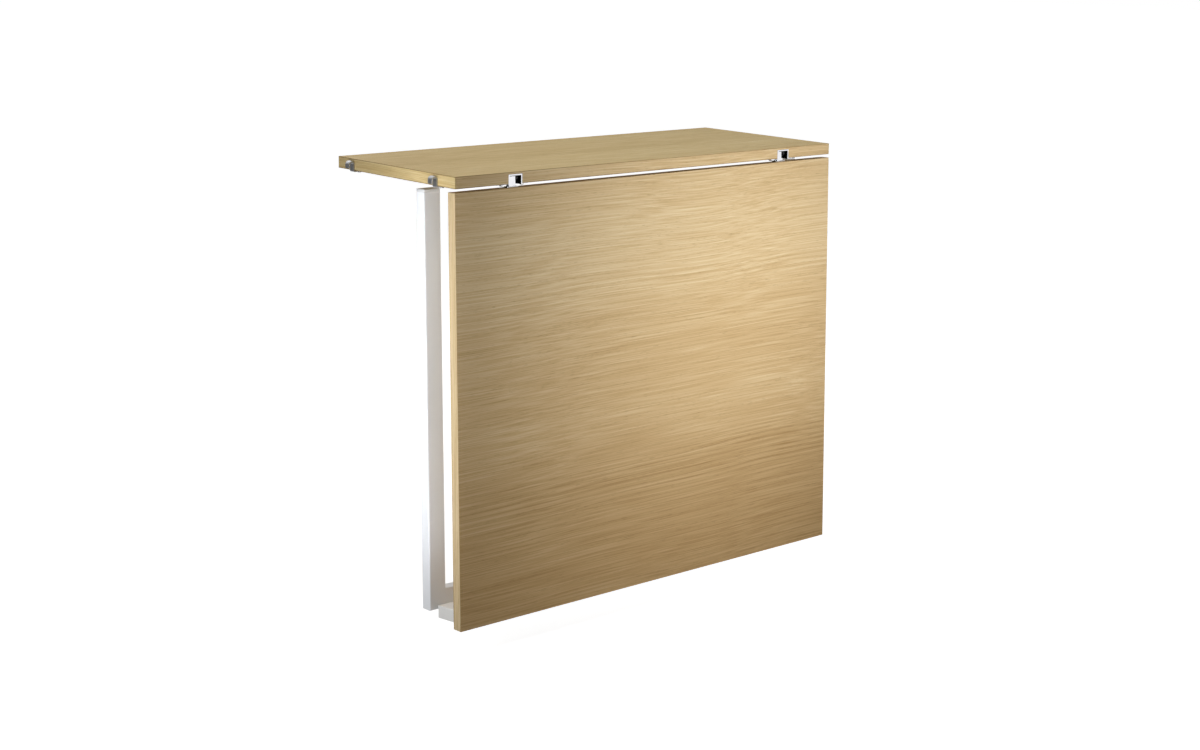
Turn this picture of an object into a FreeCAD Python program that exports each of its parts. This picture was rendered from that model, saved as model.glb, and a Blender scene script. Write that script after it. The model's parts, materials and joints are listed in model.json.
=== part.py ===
"""Wall mounted drop leaf table: a fixed shelf, a hinged leaf and a folding leg frame.

The axes: X runs along the wall, Y points into the wall, Z is up. The origin is the middle of the
shelf's rear edge. All lengths are in millimetres.

The leaf and everything on it are laid out with the leaf raised level with the shelf and the leg
frame folded flat beneath it, and are then swung about the hinge pins to where the leaf hangs.
"""
import FreeCAD, Part
import os
import re

import Sketcher

SIZES = [
    ("shelf_width", 780.0, "shelf and leaf, end to end"),
    ("shelf_depth", 300.0, "shelf, wall to front edge"),
    ("board_thickness", 18.0, "shelf and leaf"),
    ("veneer_thickness", 0.8, "oak sheet on each face"),
    ("band_thickness", 1.5, "oak strip on each edge"),
    ("leaf_length", 655.0, "leaf, hinge edge to free edge"),
    ("closing_gap", 2.5, "between shelf and raised leaf"),
    ("hanging_gap", 6.0, "between shelf and hanging leaf"),
    ("hang_angle", 1.5, "degrees that the free edge hangs forward"),
    ("fit_gap", 0.2, "round a piece let into another"),
    ("running_gap", 0.05, "round a pin that turns"),
    ("seat_gap", 0.02, "round a pin or screw that is held"),
    ("hook_width", 10.5, "strap width"),
    ("strap_thickness", 2.2, "strap gauge"),
    ("hook_bend_radius", 3.1, "inside the bend, for a 6 mm rung"),
    ("hook_rise", 9.7, "bend centre above the shelf's underside"),
    ("hook_lip", 6.0, "outer lip below the bend centre"),
    ("hook_foot", 32.0, "foot under the shelf"),
    ("front_hook_inset", 47.0, "hook centre behind the front edge"),
    ("rear_hook_inset", 39.5, "hook centre before the rear edge"),
    ("hook_screw_start", 12.0, "first foot screw from the shelf end"),
    ("hook_screw_pitch", 12.0, "between the foot screws"),
    ("hinge_inset", 110.0, "leaf hinge centre from the shelf end"),
    ("housing_width", 25.6, "over the cheeks"),
    ("housing_depth", 30.0, "front to back"),
    ("housing_wall", 2.0, "cheeks, top and back"),
    ("housing_cover", 3.5, "wood left above the housing"),
    ("flange_width", 13.0, "ear beside each cheek"),
    ("flange_thickness", 1.5, "ear under the shelf"),
    ("flange_setback", 2.5, "ear behind the front edge"),
    ("flange_length", 24.0, "ear front to back"),
    ("flange_screw_start", 7.0, "first ear screw behind the ear's front"),
    ("flange_screw_pitch", 11.0, "between the ear screws"),
    ("hinge_pin_radius", 1.5, "leaf hinge pin"),
    ("bush_radius", 4.4, "bush beside the arm"),
    ("arm_width", 13.0, "arm between the bushes"),
    ("arm_thickness", 4.0, "arm gauge"),
    ("arm_head", 3.6, "arm's head, from the pin to each face"),
    ("arm_corner", 0.8, "arm's head, eased corners"),
    ("arm_tongue", 45.0, "arm let into the leaf"),
    ("collar_width", 21.0, "collar on the leaf's edge"),
    ("collar_height", 9.0, "collar across the leaf's thickness"),
    ("collar_thickness", 1.5, "collar gauge"),
    ("arm_screw_start", 14.0, "first arm screw from the leaf's edge"),
    ("arm_screw_pitch", 18.0, "between the arm screws"),
    ("screw_shank_radius", 1.7, "wood screws"),
    ("screw_head_radius", 3.2, "wood screws"),
    ("screw_head_height", 2.0, "pan head"),
    ("screw_length", 13.0, "under the head"),
    ("screw_tip", 2.5, "tapered end"),
    ("head_edge", 0.7, "eased rim of a pan head"),
    ("recess_width", 0.9, "arm of the cross recess"),
    ("recess_span", 3.4, "cross recess, tip to tip"),
    ("recess_depth", 1.0, "cross recess"),
    ("rail_length", 752.0, "rail at the leg frame"),
    ("rail_taper", 7.5, "rail shorter at the leaf, each end"),
    ("rail_height", 58.0, "rail below the leaf"),
    ("rail_thickness", 20.0, "rail along the leaf"),
    ("rail_screw_start", 50.0, "outer rail screw from the rail's end"),
    ("rail_screw_middle", 100.0, "inner rail screw from the centre"),
    ("rail_screw_radius", 2.2, "shank"),
    ("rail_head_radius", 4.4, "head"),
    ("rail_head_height", 3.0, "head"),
    ("rail_bore_radius", 5.2, "counterbore"),
    ("rail_bore_depth", 24.0, "counterbore"),
    ("rail_screw_bite", 11.0, "rail screw in the leaf"),
    ("leg_hinge_inset", 120.0, "leg hinge centre from the leaf's side"),
    ("leg_gap", 1.0, "between rail and leg frame"),
    ("leg_pin_inset", 3.5, "leg pin from the tube's two faces"),
    ("leg_pin_radius", 1.25, "leg hinge pin"),
    ("leg_knuckle_radius", 3.0, "plate knuckle"),
    ("leg_knuckle_length", 16.0, "plate knuckle"),
    ("knuckle_neck", 4.4, "web from plate to knuckle"),
    ("knuckle_clearance", 0.5, "round the knuckle in its notch"),
    ("plate_width", 56.0, "hinge plate along the rail"),
    ("plate_depth", 16.5, "hinge plate across the rail"),
    ("plate_inset", 2.0, "hinge plate from the rail's outer face"),
    ("plate_thickness", 1.5, "hinge plate"),
    ("plate_screw_inset", 9.0, "plate screw from the plate's end"),
    ("tube_width", 30.0, "leg frame tube"),
    ("tube_depth", 20.0, "leg frame tube"),
    ("tube_wall", 1.5, "leg frame tube"),
    ("tube_corner", 2.0, "outer corner radius"),
    ("tube_inner_corner", 0.5, "inner corner radius"),
    ("block_length", 44.0, "hinge block in the cross tube"),
    ("block_screw_pitch", 32.0, "between a block's screws"),
    ("block_screw_length", 9.0, "block screws"),
    ("foot_clearance", 1.0, "foot cap below the leaf's hinge edge"),
    ("cap_height", 5.0, "foot cap outside the tube"),
    ("cap_plug", 15.0, "foot cap inside the tube"),
    ("cap_round", 1.7, "foot cap's eased end"),
]
ALIASES = {alias for alias, value, note in SIZES}

# Places and lengths that follow from the sizes, as expressions of the sheet.
HALF_WIDTH = "(shelf_width / 2)"
BOARD_TOP = "(board_thickness / 2)"
BOARD_BOTTOM = "(-board_thickness / 2)"
FRONT = "(-shelf_depth)"
CORE_THICKNESS = "(board_thickness - 2 * veneer_thickness)"
CORE_WIDTH = "(shelf_width - 2 * band_thickness)"
PIN_INSET = "((board_thickness + hanging_gap - closing_gap) / 2)"
PIN_Y = f"({FRONT} + {PIN_INSET})"
PIN_Z = f"({BOARD_TOP} - {PIN_INSET})"
PIN_TO_LEAF = f"({PIN_INSET} + closing_gap)"
SWING = "(90 - hang_angle)"
HINGE_EDGE = f"({FRONT} - closing_gap)"
FREE_EDGE = f"({HINGE_EDGE} - leaf_length)"
HOUSING_RISE = "(board_thickness - housing_cover - fit_gap)"
HOUSING_SPAN = "(housing_width + 2 * flange_width)"
BUSH_LENGTH = "((housing_width - arm_width) / 2 - housing_wall - 2 * running_gap)"
RAIL_BOTTOM = f"({BOARD_BOTTOM} - rail_height)"
FRAME_Y = f"({FREE_EDGE} + rail_thickness - 2 * leg_pin_inset)"
FRAME_Z = f"({RAIL_BOTTOM} - leg_gap - tube_depth)"
TUBE_END = f"({HINGE_EDGE} - foot_clearance - cap_height)"
LEG_LENGTH = f"({TUBE_END} - {FRAME_Y})"
NOTCH = "(leg_pin_inset + leg_knuckle_radius + knuckle_clearance)"
NOTCH_LENGTH = "(leg_knuckle_length + 2 * knuckle_clearance)"
BLOCK_INSET = "(tube_wall + fit_gap)"
RAIL_SCREW_LENGTH = "(rail_height - rail_bore_depth + rail_screw_bite)"

HINGES = {"left": "hinge_inset", "right": "(shelf_width - hinge_inset)"}
LEG_HINGES = {"left": "leg_hinge_inset", "right": "(shelf_width - leg_hinge_inset)"}
HOOKS = {"front": "front_hook_inset", "rear": "(shelf_depth - rear_hook_inset)"}
FLANGE_SCREWS = [
    "(flange_setback + flange_screw_start)",
    "(flange_setback + flange_screw_start + flange_screw_pitch)",
]
HOOK_SCREWS = ["hook_screw_start", "(hook_screw_start + hook_screw_pitch)"]
ARM_SCREWS = ["arm_screw_start", "(arm_screw_start + arm_screw_pitch)"]
RAIL_SCREWS = [
    "rail_screw_start",
    "(rail_length / 2 - rail_screw_middle)",
    "(rail_length / 2 + rail_screw_middle)",
    "(rail_length - rail_screw_start)",
]

PLANES = {"XY": "XY_Plane", "XZ": "XZ_Plane", "YZ": "YZ_Plane"}
START, END, CENTRE = range(1, 4)
LEAST = 1e-4
Y_AXIS, X_AXIS = range(-2, 0)
ORIGIN = X_AXIS

doc = FreeCAD.newDocument("drop_leaf_table")
sheet = doc.addObject("Spreadsheet::Sheet", "sizes")
for row, (alias, value, note) in enumerate(SIZES, start=1):
    sheet.set(f"A{row}", alias)
    sheet.set(f"B{row}", str(value))
    sheet.setAlias(f"B{row}", alias)
    sheet.set(f"C{row}", note)
doc.recompute()

nodes = []


# ---------------------------------------------------------------- sheet and placing

def cell(text):
    """The expression with each size's name turned into its cell in the sheet."""
    return re.sub(r"[a-z_]+", lambda word: f"sizes.{word[0]}" if word[0] in ALIASES else word[0], text)


def number(text):
    """The present value of an expression of the sizes."""
    return float(sheet.evalExpression(cell(text)))


def bind(thing, prop, text):
    """Binds a property to an expression of the sizes."""
    thing.setExpression(prop, cell(text))


def place(piece, x, y, z, on_leaf=False, axis=(0, 0, 1), angle="0"):
    """Puts a piece's own origin at a point, turned about an axis through that point.

    A piece on the leaf is first placed with the leaf level, then swung about the hinge pins.
    """
    base = f"create(<<vector>>; {x}; {y}; {z})"
    turn_axis = "create(<<vector>>; {}; {}; {})".format(*axis)
    own = f"create(<<placement>>; {base}; create(<<rotation>>; {turn_axis}; {angle}))"
    if on_leaf:
        swing = f"create(<<rotation>>; create(<<vector>>; 1; 0; 0); {SWING})"
        pin = f"create(<<vector>>; 0; {PIN_Y}; {PIN_Z})"
        still = "create(<<vector>>; 0; 0; 0)"
        own = f"create(<<placement>>; {still}; {swing}; {pin}) * {own}"
    bind(piece, "Placement", own)


def add_node(piece, name):
    """Names a finished piece and keeps it for writing."""
    piece.Label = name
    nodes.append(piece)
    return piece


# ---------------------------------------------------------------- sketches

def fix_point(sketch, geometry, point, x=None, y=None):
    """Holds a sketch point at a distance from the origin along each axis that is given."""
    for text, kind, axis in ((x, "DistanceX", Y_AXIS), (y, "DistanceY", X_AXIS)):
        if text is None:
            continue
        if number(text) == 0:
            sketch.addConstraint(Sketcher.Constraint("PointOnObject", geometry, point, axis))
            continue
        constraint = Sketcher.Constraint(kind, ORIGIN, START, geometry, point, number(text))
        index = sketch.addConstraint(constraint)
        bind(sketch, f"Constraints[{index}]", text)


def draw_circle(sketch, x, y, radius):
    """A circle held by its centre and radius."""
    centre = FreeCAD.Vector(number(x), number(y), 0)
    normal = FreeCAD.Vector(0, 0, 1)
    geometry = sketch.addGeometry(Part.Circle(centre, normal, number(radius)))
    fix_point(sketch, geometry, CENTRE, x, y)
    index = sketch.addConstraint(Sketcher.Constraint("Radius", geometry, number(radius)))
    bind(sketch, f"Constraints[{index}]", radius)


def draw_loop(sketch, corners):
    """A closed loop. A corner is (x, y), or (x, y, centre x, centre y, turn) at an arc's end."""
    pieces = []
    for index, corner in enumerate(corners):
        before = corners[index - 1]
        start = FreeCAD.Vector(number(before[0]), number(before[1]), 0)
        end = FreeCAD.Vector(number(corner[0]), number(corner[1]), 0)
        if len(corner) == 2:
            geometry = sketch.addGeometry(Part.LineSegment(start, end))
            pieces.append((geometry, START, END))
            continue
        middle = FreeCAD.Vector(number(corner[2]), number(corner[3]), 0)
        first, last = (start, end) if corner[4] == "left" else (end, start)
        normal = FreeCAD.Vector(0, 0, 1)
        circle = Part.Circle(middle, normal, (first - middle).Length)
        arc = Part.ArcOfCircle(circle, circle.parameter(first), circle.parameter(last))
        geometry = sketch.addGeometry(arc)
        pieces.append((geometry, START, END) if corner[4] == "left" else (geometry, END, START))
        if abs(start.y - end.y) <= abs(start.x - end.x):
            fix_point(sketch, geometry, CENTRE, y=corner[3])
        else:
            fix_point(sketch, geometry, CENTRE, x=corner[2])
    for index, corner in enumerate(corners):
        geometry, begin, finish = pieces[index]
        following, next_begin, next_finish = pieces[(index + 1) % len(pieces)]
        joint = Sketcher.Constraint("Coincident", geometry, finish, following, next_begin)
        sketch.addConstraint(joint)
        fix_point(sketch, geometry, finish, corner[0], corner[1])


def rectangle(x, y, width, height):
    """The corners of a rectangle."""
    right = f"({x} + {width})"
    top = f"({y} + {height})"
    return [(x, y), (right, y), (right, top), (x, top)]


def rounded_rectangle(x, y, width, height, radius):
    """The corners of a rectangle with round corners."""
    right = f"({x} + {width})"
    top = f"({y} + {height})"
    in_left = f"({x} + {radius})"
    in_right = f"({right} - {radius})"
    in_low = f"({y} + {radius})"
    in_high = f"({top} - {radius})"
    return [
        (in_left, y, in_left, in_low, "left"),
        (in_right, y),
        (right, in_low, in_right, in_low, "left"),
        (right, in_high),
        (in_right, top, in_right, in_high, "left"),
        (in_left, top),
        (x, in_high, in_left, in_high, "left"),
        (x, in_low),
    ]


def new_sketch(body, name, plane, level, loops):
    """A sketch on one of the body's own planes, moved along the plane's axis to a level."""
    sketch = body.newObject("Sketcher::SketchObject", f"{body.Name}_{name}")
    role = PLANES[plane]
    support = [item for item in body.Origin.OriginFeatures if item.Role == role][0]
    sketch.AttachmentSupport = [(support, "")]
    sketch.MapMode = "FlatFace"
    side = "-1" if plane == "XZ" else "1"
    bind(sketch, "AttachmentOffset.Base.z", f"{side} * {level}")
    for loop in loops:
        if isinstance(loop, list):
            draw_loop(sketch, loop)
        else:
            draw_circle(sketch, *loop)
    return sketch


# ---------------------------------------------------------------- features

def new_body(name):
    """An empty body."""
    return doc.addObject("PartDesign::Body", name)


def add(body, name, plane, level, length, loops):
    """Pads loops along the plane's axis, from a level, for a length."""
    sketch = new_sketch(body, name, plane, level, loops)
    feature = body.newObject("PartDesign::Pad", f"{body.Name}_{name}_pad")
    feature.Profile = sketch
    feature.Reversed = plane == "XZ"
    bind(feature, "Length", length)
    doc.recompute()
    return feature


def cut(body, name, plane, level, length, loops):
    """Pockets loops along the plane's axis, from a level, for a length."""
    before = body.Shape.Volume
    sketch = new_sketch(body, name, plane, level, loops)
    feature = body.newObject("PartDesign::Pocket", f"{body.Name}_{name}_cut")
    feature.Profile = sketch
    feature.Reversed = plane != "XZ"
    bind(feature, "Length", length)
    doc.recompute()
    if not feature.Shape.Volume < before:
        raise RuntimeError(f"{feature.Name} cuts nothing")
    return feature


def countersink(body, name, x, y, z):
    """Sinks a cone for a flat screw head, opening downwards at z."""
    before = body.Shape.Volume
    cone = body.newObject("PartDesign::SubtractiveCone", f"{body.Name}_{name}_sink")
    bind(cone, "Radius1", "screw_head_radius + seat_gap")
    bind(cone, "Radius2", "screw_shank_radius + seat_gap")
    bind(cone, "Height", "screw_head_radius - screw_shank_radius")
    bind(cone, "Placement.Base.x", x)
    bind(cone, "Placement.Base.y", y)
    bind(cone, "Placement.Base.z", z)
    doc.recompute()
    if not cone.Shape.Volume < before:
        raise RuntimeError(f"{cone.Name} cuts nothing")


def box(name, x_size, y_size, z_size):
    """A plain block."""
    block = doc.addObject("Part::Box", name)
    bind(block, "Length", x_size)
    bind(block, "Width", y_size)
    bind(block, "Height", z_size)
    return block


def pin(name, radius, length):
    """A plain round pin along its own Z."""
    rod = doc.addObject("Part::Cylinder", name)
    bind(rod, "Radius", radius)
    bind(rod, "Height", length)
    return rod


# ---------------------------------------------------------------- screws and groups

def make_screw(name, head_radius, head_height, shank_radius, length, flat):
    """One screw, point up. The face that it is driven against is its own z = 0."""
    body = new_body(name)
    shoulder = f"({length} - screw_tip)"
    if flat:
        bottom = "0"
        profile = [
            ("0", "0"),
            (head_radius, "0"),
            (shank_radius, f"({head_radius} - {shank_radius})"),
        ]
    else:
        bottom = f"(-{head_height})"
        profile = [
            ("0", bottom),
            (f"({head_radius} - head_edge)", bottom),
            (head_radius, f"({bottom} + head_edge)"),
            (head_radius, "0"),
            (shank_radius, "0"),
        ]
    profile += [(shank_radius, shoulder), ("0", length)]
    sketch = new_sketch(body, "profile", "XZ", "0", [profile])
    turned = body.newObject("PartDesign::Revolution", f"{name}_turned")
    turned.Profile = sketch
    turned.ReferenceAxis = (sketch, ["V_Axis"])
    turned.Angle = 360
    doc.recompute()
    half = "(recess_width / 2)"
    tip = "(recess_span / 2)"
    cross = [
        (f"-{half}", f"-{tip}"), (half, f"-{tip}"), (half, f"-{half}"), (tip, f"-{half}"),
        (tip, half), (half, half), (half, tip), (f"-{half}", tip),
        (f"-{half}", half), (f"-{tip}", half), (f"-{tip}", f"-{half}"), (f"-{half}", f"-{half}"),
    ]
    cut(body, "recess", "XY", bottom, "recess_depth", [cross])
    return body


def make_group(name, pattern, places, on_leaf=False):
    """A group of like pieces, one at each place."""
    copies = []
    for x, y, z in places:
        copy = pattern.Shape.copy()
        copy.translate(FreeCAD.Vector(number(x), number(y), number(z)))
        copies.append(copy)
    group = doc.addObject("Part::Feature", name)
    group.Shape = Part.makeCompound(copies)
    place(group, "0", "0", "0", on_leaf)
    return add_node(group, name)


# ---------------------------------------------------------------- shelf

def flange_screw_places():
    """Where the hinge housings' screws go, from the shelf's front left corner."""
    out = "((housing_width + flange_width) / 2)"
    return [
        (f"({centre} {side} {out})", along)
        for centre in HINGES.values()
        for side in "-+"
        for along in FLANGE_SCREWS
    ]


def hook_screw_places():
    """Where the hooks' screws go, from the shelf's front left corner."""
    return [
        (across if end == "left" else f"(shelf_width - {across})", along)
        for end in ("left", "right")
        for along in HOOKS.values()
        for across in HOOK_SCREWS
    ]


def housing_pockets(inset, depth):
    """The outlines of the two housing pockets on a piece set in by inset, cut to a depth."""
    width = "(housing_width + 2 * fit_gap)"
    return [
        rectangle(f"({centre} - {width} / 2 - {inset})", "0", width, depth)
        for centre in HINGES.values()
    ]


def make_shelf_core():
    """The shelf's core board, with pockets for the housings and pilot holes for the screws."""
    body = new_body("shelf_core")
    depth = "(shelf_depth - 2 * band_thickness)"
    outline = rectangle("0", "0", CORE_WIDTH, depth)
    add(body, "board", "XY", "0", CORE_THICKNESS, [outline])
    pocket_depth = "(housing_depth + fit_gap - band_thickness)"
    pocket_rise = "(board_thickness - housing_cover - veneer_thickness)"
    cut(body, "pockets", "XY", "0", pocket_rise, housing_pockets("band_thickness", pocket_depth))
    pilots = [
        (f"({x} - band_thickness)", f"({y} - band_thickness)", "(screw_shank_radius + seat_gap)")
        for x, y in flange_screw_places() + hook_screw_places()
    ]
    cut(body, "pilots", "XY", "0", "(screw_length - veneer_thickness)", pilots)
    place(
        body,
        f"-{HALF_WIDTH} + band_thickness",
        f"{FRONT} + band_thickness",
        f"{BOARD_BOTTOM} + veneer_thickness",
    )
    return add_node(body, "shelf_core")


def make_shelf_veneers():
    """The oak sheets on the shelf's two faces."""
    top = box("shelf_top_veneer", "shelf_width", "shelf_depth", "veneer_thickness")
    place(top, f"-{HALF_WIDTH}", FRONT, f"{BOARD_TOP} - veneer_thickness")
    add_node(top, "shelf_top_veneer")
    bottom = new_body("shelf_bottom_veneer")
    outline = rectangle("0", "0", "shelf_width", "shelf_depth")
    add(bottom, "sheet", "XY", "0", "veneer_thickness", [outline])
    pockets = housing_pockets("0", "(housing_depth + fit_gap)")
    cut(bottom, "pockets", "XY", "0", "veneer_thickness", pockets)
    holes = [
        (x, y, "(screw_shank_radius + seat_gap)")
        for x, y in flange_screw_places() + hook_screw_places()
    ]
    cut(bottom, "holes", "XY", "0", "veneer_thickness", holes)
    place(bottom, f"-{HALF_WIDTH}", FRONT, BOARD_BOTTOM)
    add_node(bottom, "shelf_bottom_veneer")


def make_shelf_bands():
    """The oak strips round the shelf's edge. The front one is notched for the housings."""
    low = f"{BOARD_BOTTOM} + veneer_thickness"
    front = new_body("shelf_front_band")
    outline = rectangle("0", "0", CORE_WIDTH, "band_thickness")
    add(front, "strip", "XY", "0", CORE_THICKNESS, [outline])
    rise = "(board_thickness - housing_cover - veneer_thickness)"
    cut(front, "notches", "XY", "0", rise, housing_pockets("band_thickness", "band_thickness"))
    place(front, f"-{HALF_WIDTH} + band_thickness", FRONT, low)
    add_node(front, "shelf_front_band")
    rear = box("shelf_rear_band", CORE_WIDTH, "band_thickness", CORE_THICKNESS)
    place(rear, f"-{HALF_WIDTH} + band_thickness", "-band_thickness", low)
    add_node(rear, "shelf_rear_band")
    for end, x in (("left", f"-{HALF_WIDTH}"), ("right", f"{HALF_WIDTH} - band_thickness")):
        name = f"shelf_{end}_band"
        strip = box(name, "band_thickness", "shelf_depth", CORE_THICKNESS)
        place(strip, x, FRONT, low)
        add_node(strip, name)


def make_hook(name, left_end, inset):
    """A bent strap that hooks over a wire rung beside the shelf, screwed beneath the shelf.

    Its own origin is the lower edge of the shelf's end, X pointing inwards.
    """
    body = new_body(name)
    inner = "(strap_thickness + 2 * hook_bend_radius)"
    outer = "(2 * strap_thickness + 2 * hook_bend_radius)"
    centre = "(-(strap_thickness + hook_bend_radius))"
    lip = "(hook_rise - hook_lip)"
    profile = [
        ("hook_foot", "0"),
        ("0", "0"),
        ("0", "hook_rise"),
        (f"-{outer}", "hook_rise", centre, "hook_rise", "left"),
        (f"-{outer}", lip),
        (f"-{inner}", lip),
        (f"-{inner}", "hook_rise"),
        ("-strap_thickness", "hook_rise", centre, "hook_rise", "right"),
        ("-strap_thickness", "0"),
        ("0", "-strap_thickness", "0", "0", "left"),
        ("hook_foot", "-strap_thickness"),
    ]
    add(body, "strap", "XZ", "0", "hook_width", [profile])
    holes = [(x, "(hook_width / 2)", "(screw_shank_radius + fit_gap)") for x in HOOK_SCREWS]
    cut(body, "holes", "XY", "(-strap_thickness)", "strap_thickness", holes)
    if left_end:
        place(body, f"-{HALF_WIDTH}", f"{FRONT} + {inset} - hook_width / 2", BOARD_BOTTOM)
    else:
        front_edge = f"{FRONT} + {inset} + hook_width / 2"
        place(body, HALF_WIDTH, front_edge, BOARD_BOTTOM, angle="180")
    return add_node(body, name)


def make_housing(side):
    """The hinge's metal box, let into the shelf's front edge, with an ear at each side.

    Its own origin is the front left corner of the ears' underside.
    """
    body = new_body(f"{side}_hinge_housing")
    left = "flange_width"
    right = "(flange_width + housing_width)"
    in_left = "(flange_width + housing_wall)"
    in_right = "(flange_width + housing_width - housing_wall)"
    top = f"(flange_thickness + {HOUSING_RISE})"
    in_top = f"({top} - housing_wall)"
    hat = [
        ("0", "0"), (in_left, "0"), (in_left, in_top), (in_right, in_top),
        (in_right, "0"), (HOUSING_SPAN, "0"), (HOUSING_SPAN, "flange_thickness"),
        (right, "flange_thickness"), (right, top), (left, top),
        (left, "flange_thickness"), ("0", "flange_thickness"),
    ]
    add(body, "channel", "XZ", "0", "housing_depth", [hat])
    back = rectangle(left, "flange_thickness", "housing_width", HOUSING_RISE)
    add(body, "back", "XZ", "(housing_depth - housing_wall)", "housing_wall", [back])
    ear_end = "(flange_setback + flange_length)"
    trims = [
        rectangle("0", "0", HOUSING_SPAN, "flange_setback"),
        rectangle("0", ear_end, HOUSING_SPAN, f"(housing_depth - {ear_end})"),
    ]
    cut(body, "trims", "XY", "0", "flange_thickness", trims)
    height = f"(flange_thickness + board_thickness - {PIN_INSET})"
    bore = (PIN_INSET, height, "(hinge_pin_radius + seat_gap)")
    cut(body, "bore", "YZ", "0", HOUSING_SPAN, [bore])
    holes = [
        (x, y, "(screw_shank_radius + fit_gap)")
        for x in ("(flange_width / 2)", f"({HOUSING_SPAN} - flange_width / 2)")
        for y in FLANGE_SCREWS
    ]
    cut(body, "holes", "XY", "0", "flange_thickness", holes)
    x = f"{HINGES[side]} - {HALF_WIDTH} - {HOUSING_SPAN} / 2"
    place(body, x, FRONT, f"{BOARD_BOTTOM} - flange_thickness")
    return add_node(body, f"{side}_hinge_housing")


def make_hinge_pin(side):
    """The pin through a housing's cheeks that the arm turns on."""
    name = f"{side}_hinge_pin"
    rod = pin(name, "hinge_pin_radius", "housing_width")
    x = f"{HINGES[side]} - {HALF_WIDTH} - housing_width / 2"
    place(rod, x, PIN_Y, PIN_Z, axis=(0, 1, 0), angle="90")
    return add_node(rod, name)


def make_bush():
    """A nylon bush for a hinge pin, along X from its own origin."""
    body = new_body("hinge_bush")
    loops = [("0", "0", "bush_radius"), ("0", "0", "(hinge_pin_radius + seat_gap)")]
    add(body, "ring", "YZ", "0", BUSH_LENGTH, loops)
    return body


def make_hinge_bushes(side, bush):
    """The two bushes that keep an arm in the middle of its pin."""
    centre = f"({HINGES[side]} - {HALF_WIDTH})"
    starts = [
        f"({centre} - housing_width / 2 + housing_wall + running_gap)",
        f"({centre} + arm_width / 2 + running_gap)",
    ]
    make_group(f"{side}_hinge_bushes", bush, [(start, PIN_Y, PIN_Z) for start in starts])


def make_shelf(screw):
    """Everything that stays on the wall."""
    make_shelf_core()
    make_shelf_veneers()
    make_shelf_bands()
    for end in ("left", "right"):
        for row_name, inset in HOOKS.items():
            make_hook(f"{row_name}_{end}_hook", end == "left", inset)
    bush = make_bush()
    for side in HINGES:
        make_housing(side)
        make_hinge_pin(side)
        make_hinge_bushes(side, bush)
    foot = f"({BOARD_BOTTOM} - strap_thickness)"
    ear = f"({BOARD_BOTTOM} - flange_thickness)"
    hook_screws = [
        (f"({x} - {HALF_WIDTH})", f"({FRONT} + {y})", foot) for x, y in hook_screw_places()
    ]
    ear_screws = [
        (f"({x} - {HALF_WIDTH})", f"({FRONT} + {y})", ear) for x, y in flange_screw_places()
    ]
    make_group("hook_screws", screw, hook_screws)
    make_group("housing_screws", screw, ear_screws)


# ---------------------------------------------------------------- leaf

def make_leaf_core():
    """The leaf's core board, with mortises for the arms and pilot holes for the screws."""
    body = new_body("leaf_core")
    length = "(leaf_length - 2 * band_thickness)"
    outline = rectangle("0", "0", CORE_WIDTH, length)
    add(body, "board", "XY", "0", CORE_THICKNESS, [outline])
    mortises = arm_slots("band_thickness", "veneer_thickness")
    level = "(leaf_length - band_thickness - arm_tongue - fit_gap)"
    cut(body, "mortises", "XZ", level, "(arm_tongue + fit_gap - band_thickness)", mortises)
    pilots = [
        (f"({centre} - band_thickness)", f"(leaf_length - {along} - band_thickness)",
         "(screw_shank_radius + seat_gap)")
        for centre in HINGES.values()
        for along in ARM_SCREWS
    ]
    cut(body, "arm_pilots", "XY", "0", "(screw_length - veneer_thickness)", pilots)
    rail_pilots = [
        (f"({x} + {HALF_WIDTH} - rail_length / 2 - band_thickness)",
         "(rail_thickness / 2 - band_thickness)", "(rail_screw_radius + seat_gap)")
        for x in RAIL_SCREWS
    ]
    cut(body, "rail_pilots", "XY", "0", "(rail_screw_bite - veneer_thickness)", rail_pilots)
    place(
        body,
        f"-{HALF_WIDTH} + band_thickness",
        f"{FREE_EDGE} + band_thickness",
        f"{BOARD_BOTTOM} + veneer_thickness",
        on_leaf=True,
    )
    return add_node(body, "leaf_core")


def arm_slots(x_inset, z_inset):
    """The section of the two arm slots on a piece set in from the leaf's side and underside."""
    width = "(arm_width + 2 * fit_gap)"
    height = "(arm_thickness + 2 * fit_gap)"
    low = f"(board_thickness - {PIN_INSET} - {height} / 2 - {z_inset})"
    return [
        rectangle(f"({centre} - {width} / 2 - {x_inset})", low, width, height)
        for centre in HINGES.values()
    ]


def make_leaf_veneers():
    """The oak sheets on the leaf's two faces: the outer one is the table top."""
    outer = box("leaf_outer_veneer", "shelf_width", "leaf_length", "veneer_thickness")
    place(outer, f"-{HALF_WIDTH}", FREE_EDGE, f"{BOARD_TOP} - veneer_thickness", on_leaf=True)
    add_node(outer, "leaf_outer_veneer")
    inner = new_body("leaf_inner_veneer")
    outline = rectangle("0", "0", "shelf_width", "leaf_length")
    add(inner, "sheet", "XY", "0", "veneer_thickness", [outline])
    arm_holes = [
        (centre, f"(leaf_length - {along})", "(screw_shank_radius + seat_gap)")
        for centre in HINGES.values()
        for along in ARM_SCREWS
    ]
    rail_holes = [
        (f"({x} + {HALF_WIDTH} - rail_length / 2)", "(rail_thickness / 2)",
         "(rail_screw_radius + seat_gap)")
        for x in RAIL_SCREWS
    ]
    cut(inner, "holes", "XY", "0", "veneer_thickness", arm_holes + rail_holes)
    place(inner, f"-{HALF_WIDTH}", FREE_EDGE, BOARD_BOTTOM, on_leaf=True)
    add_node(inner, "leaf_inner_veneer")


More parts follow.
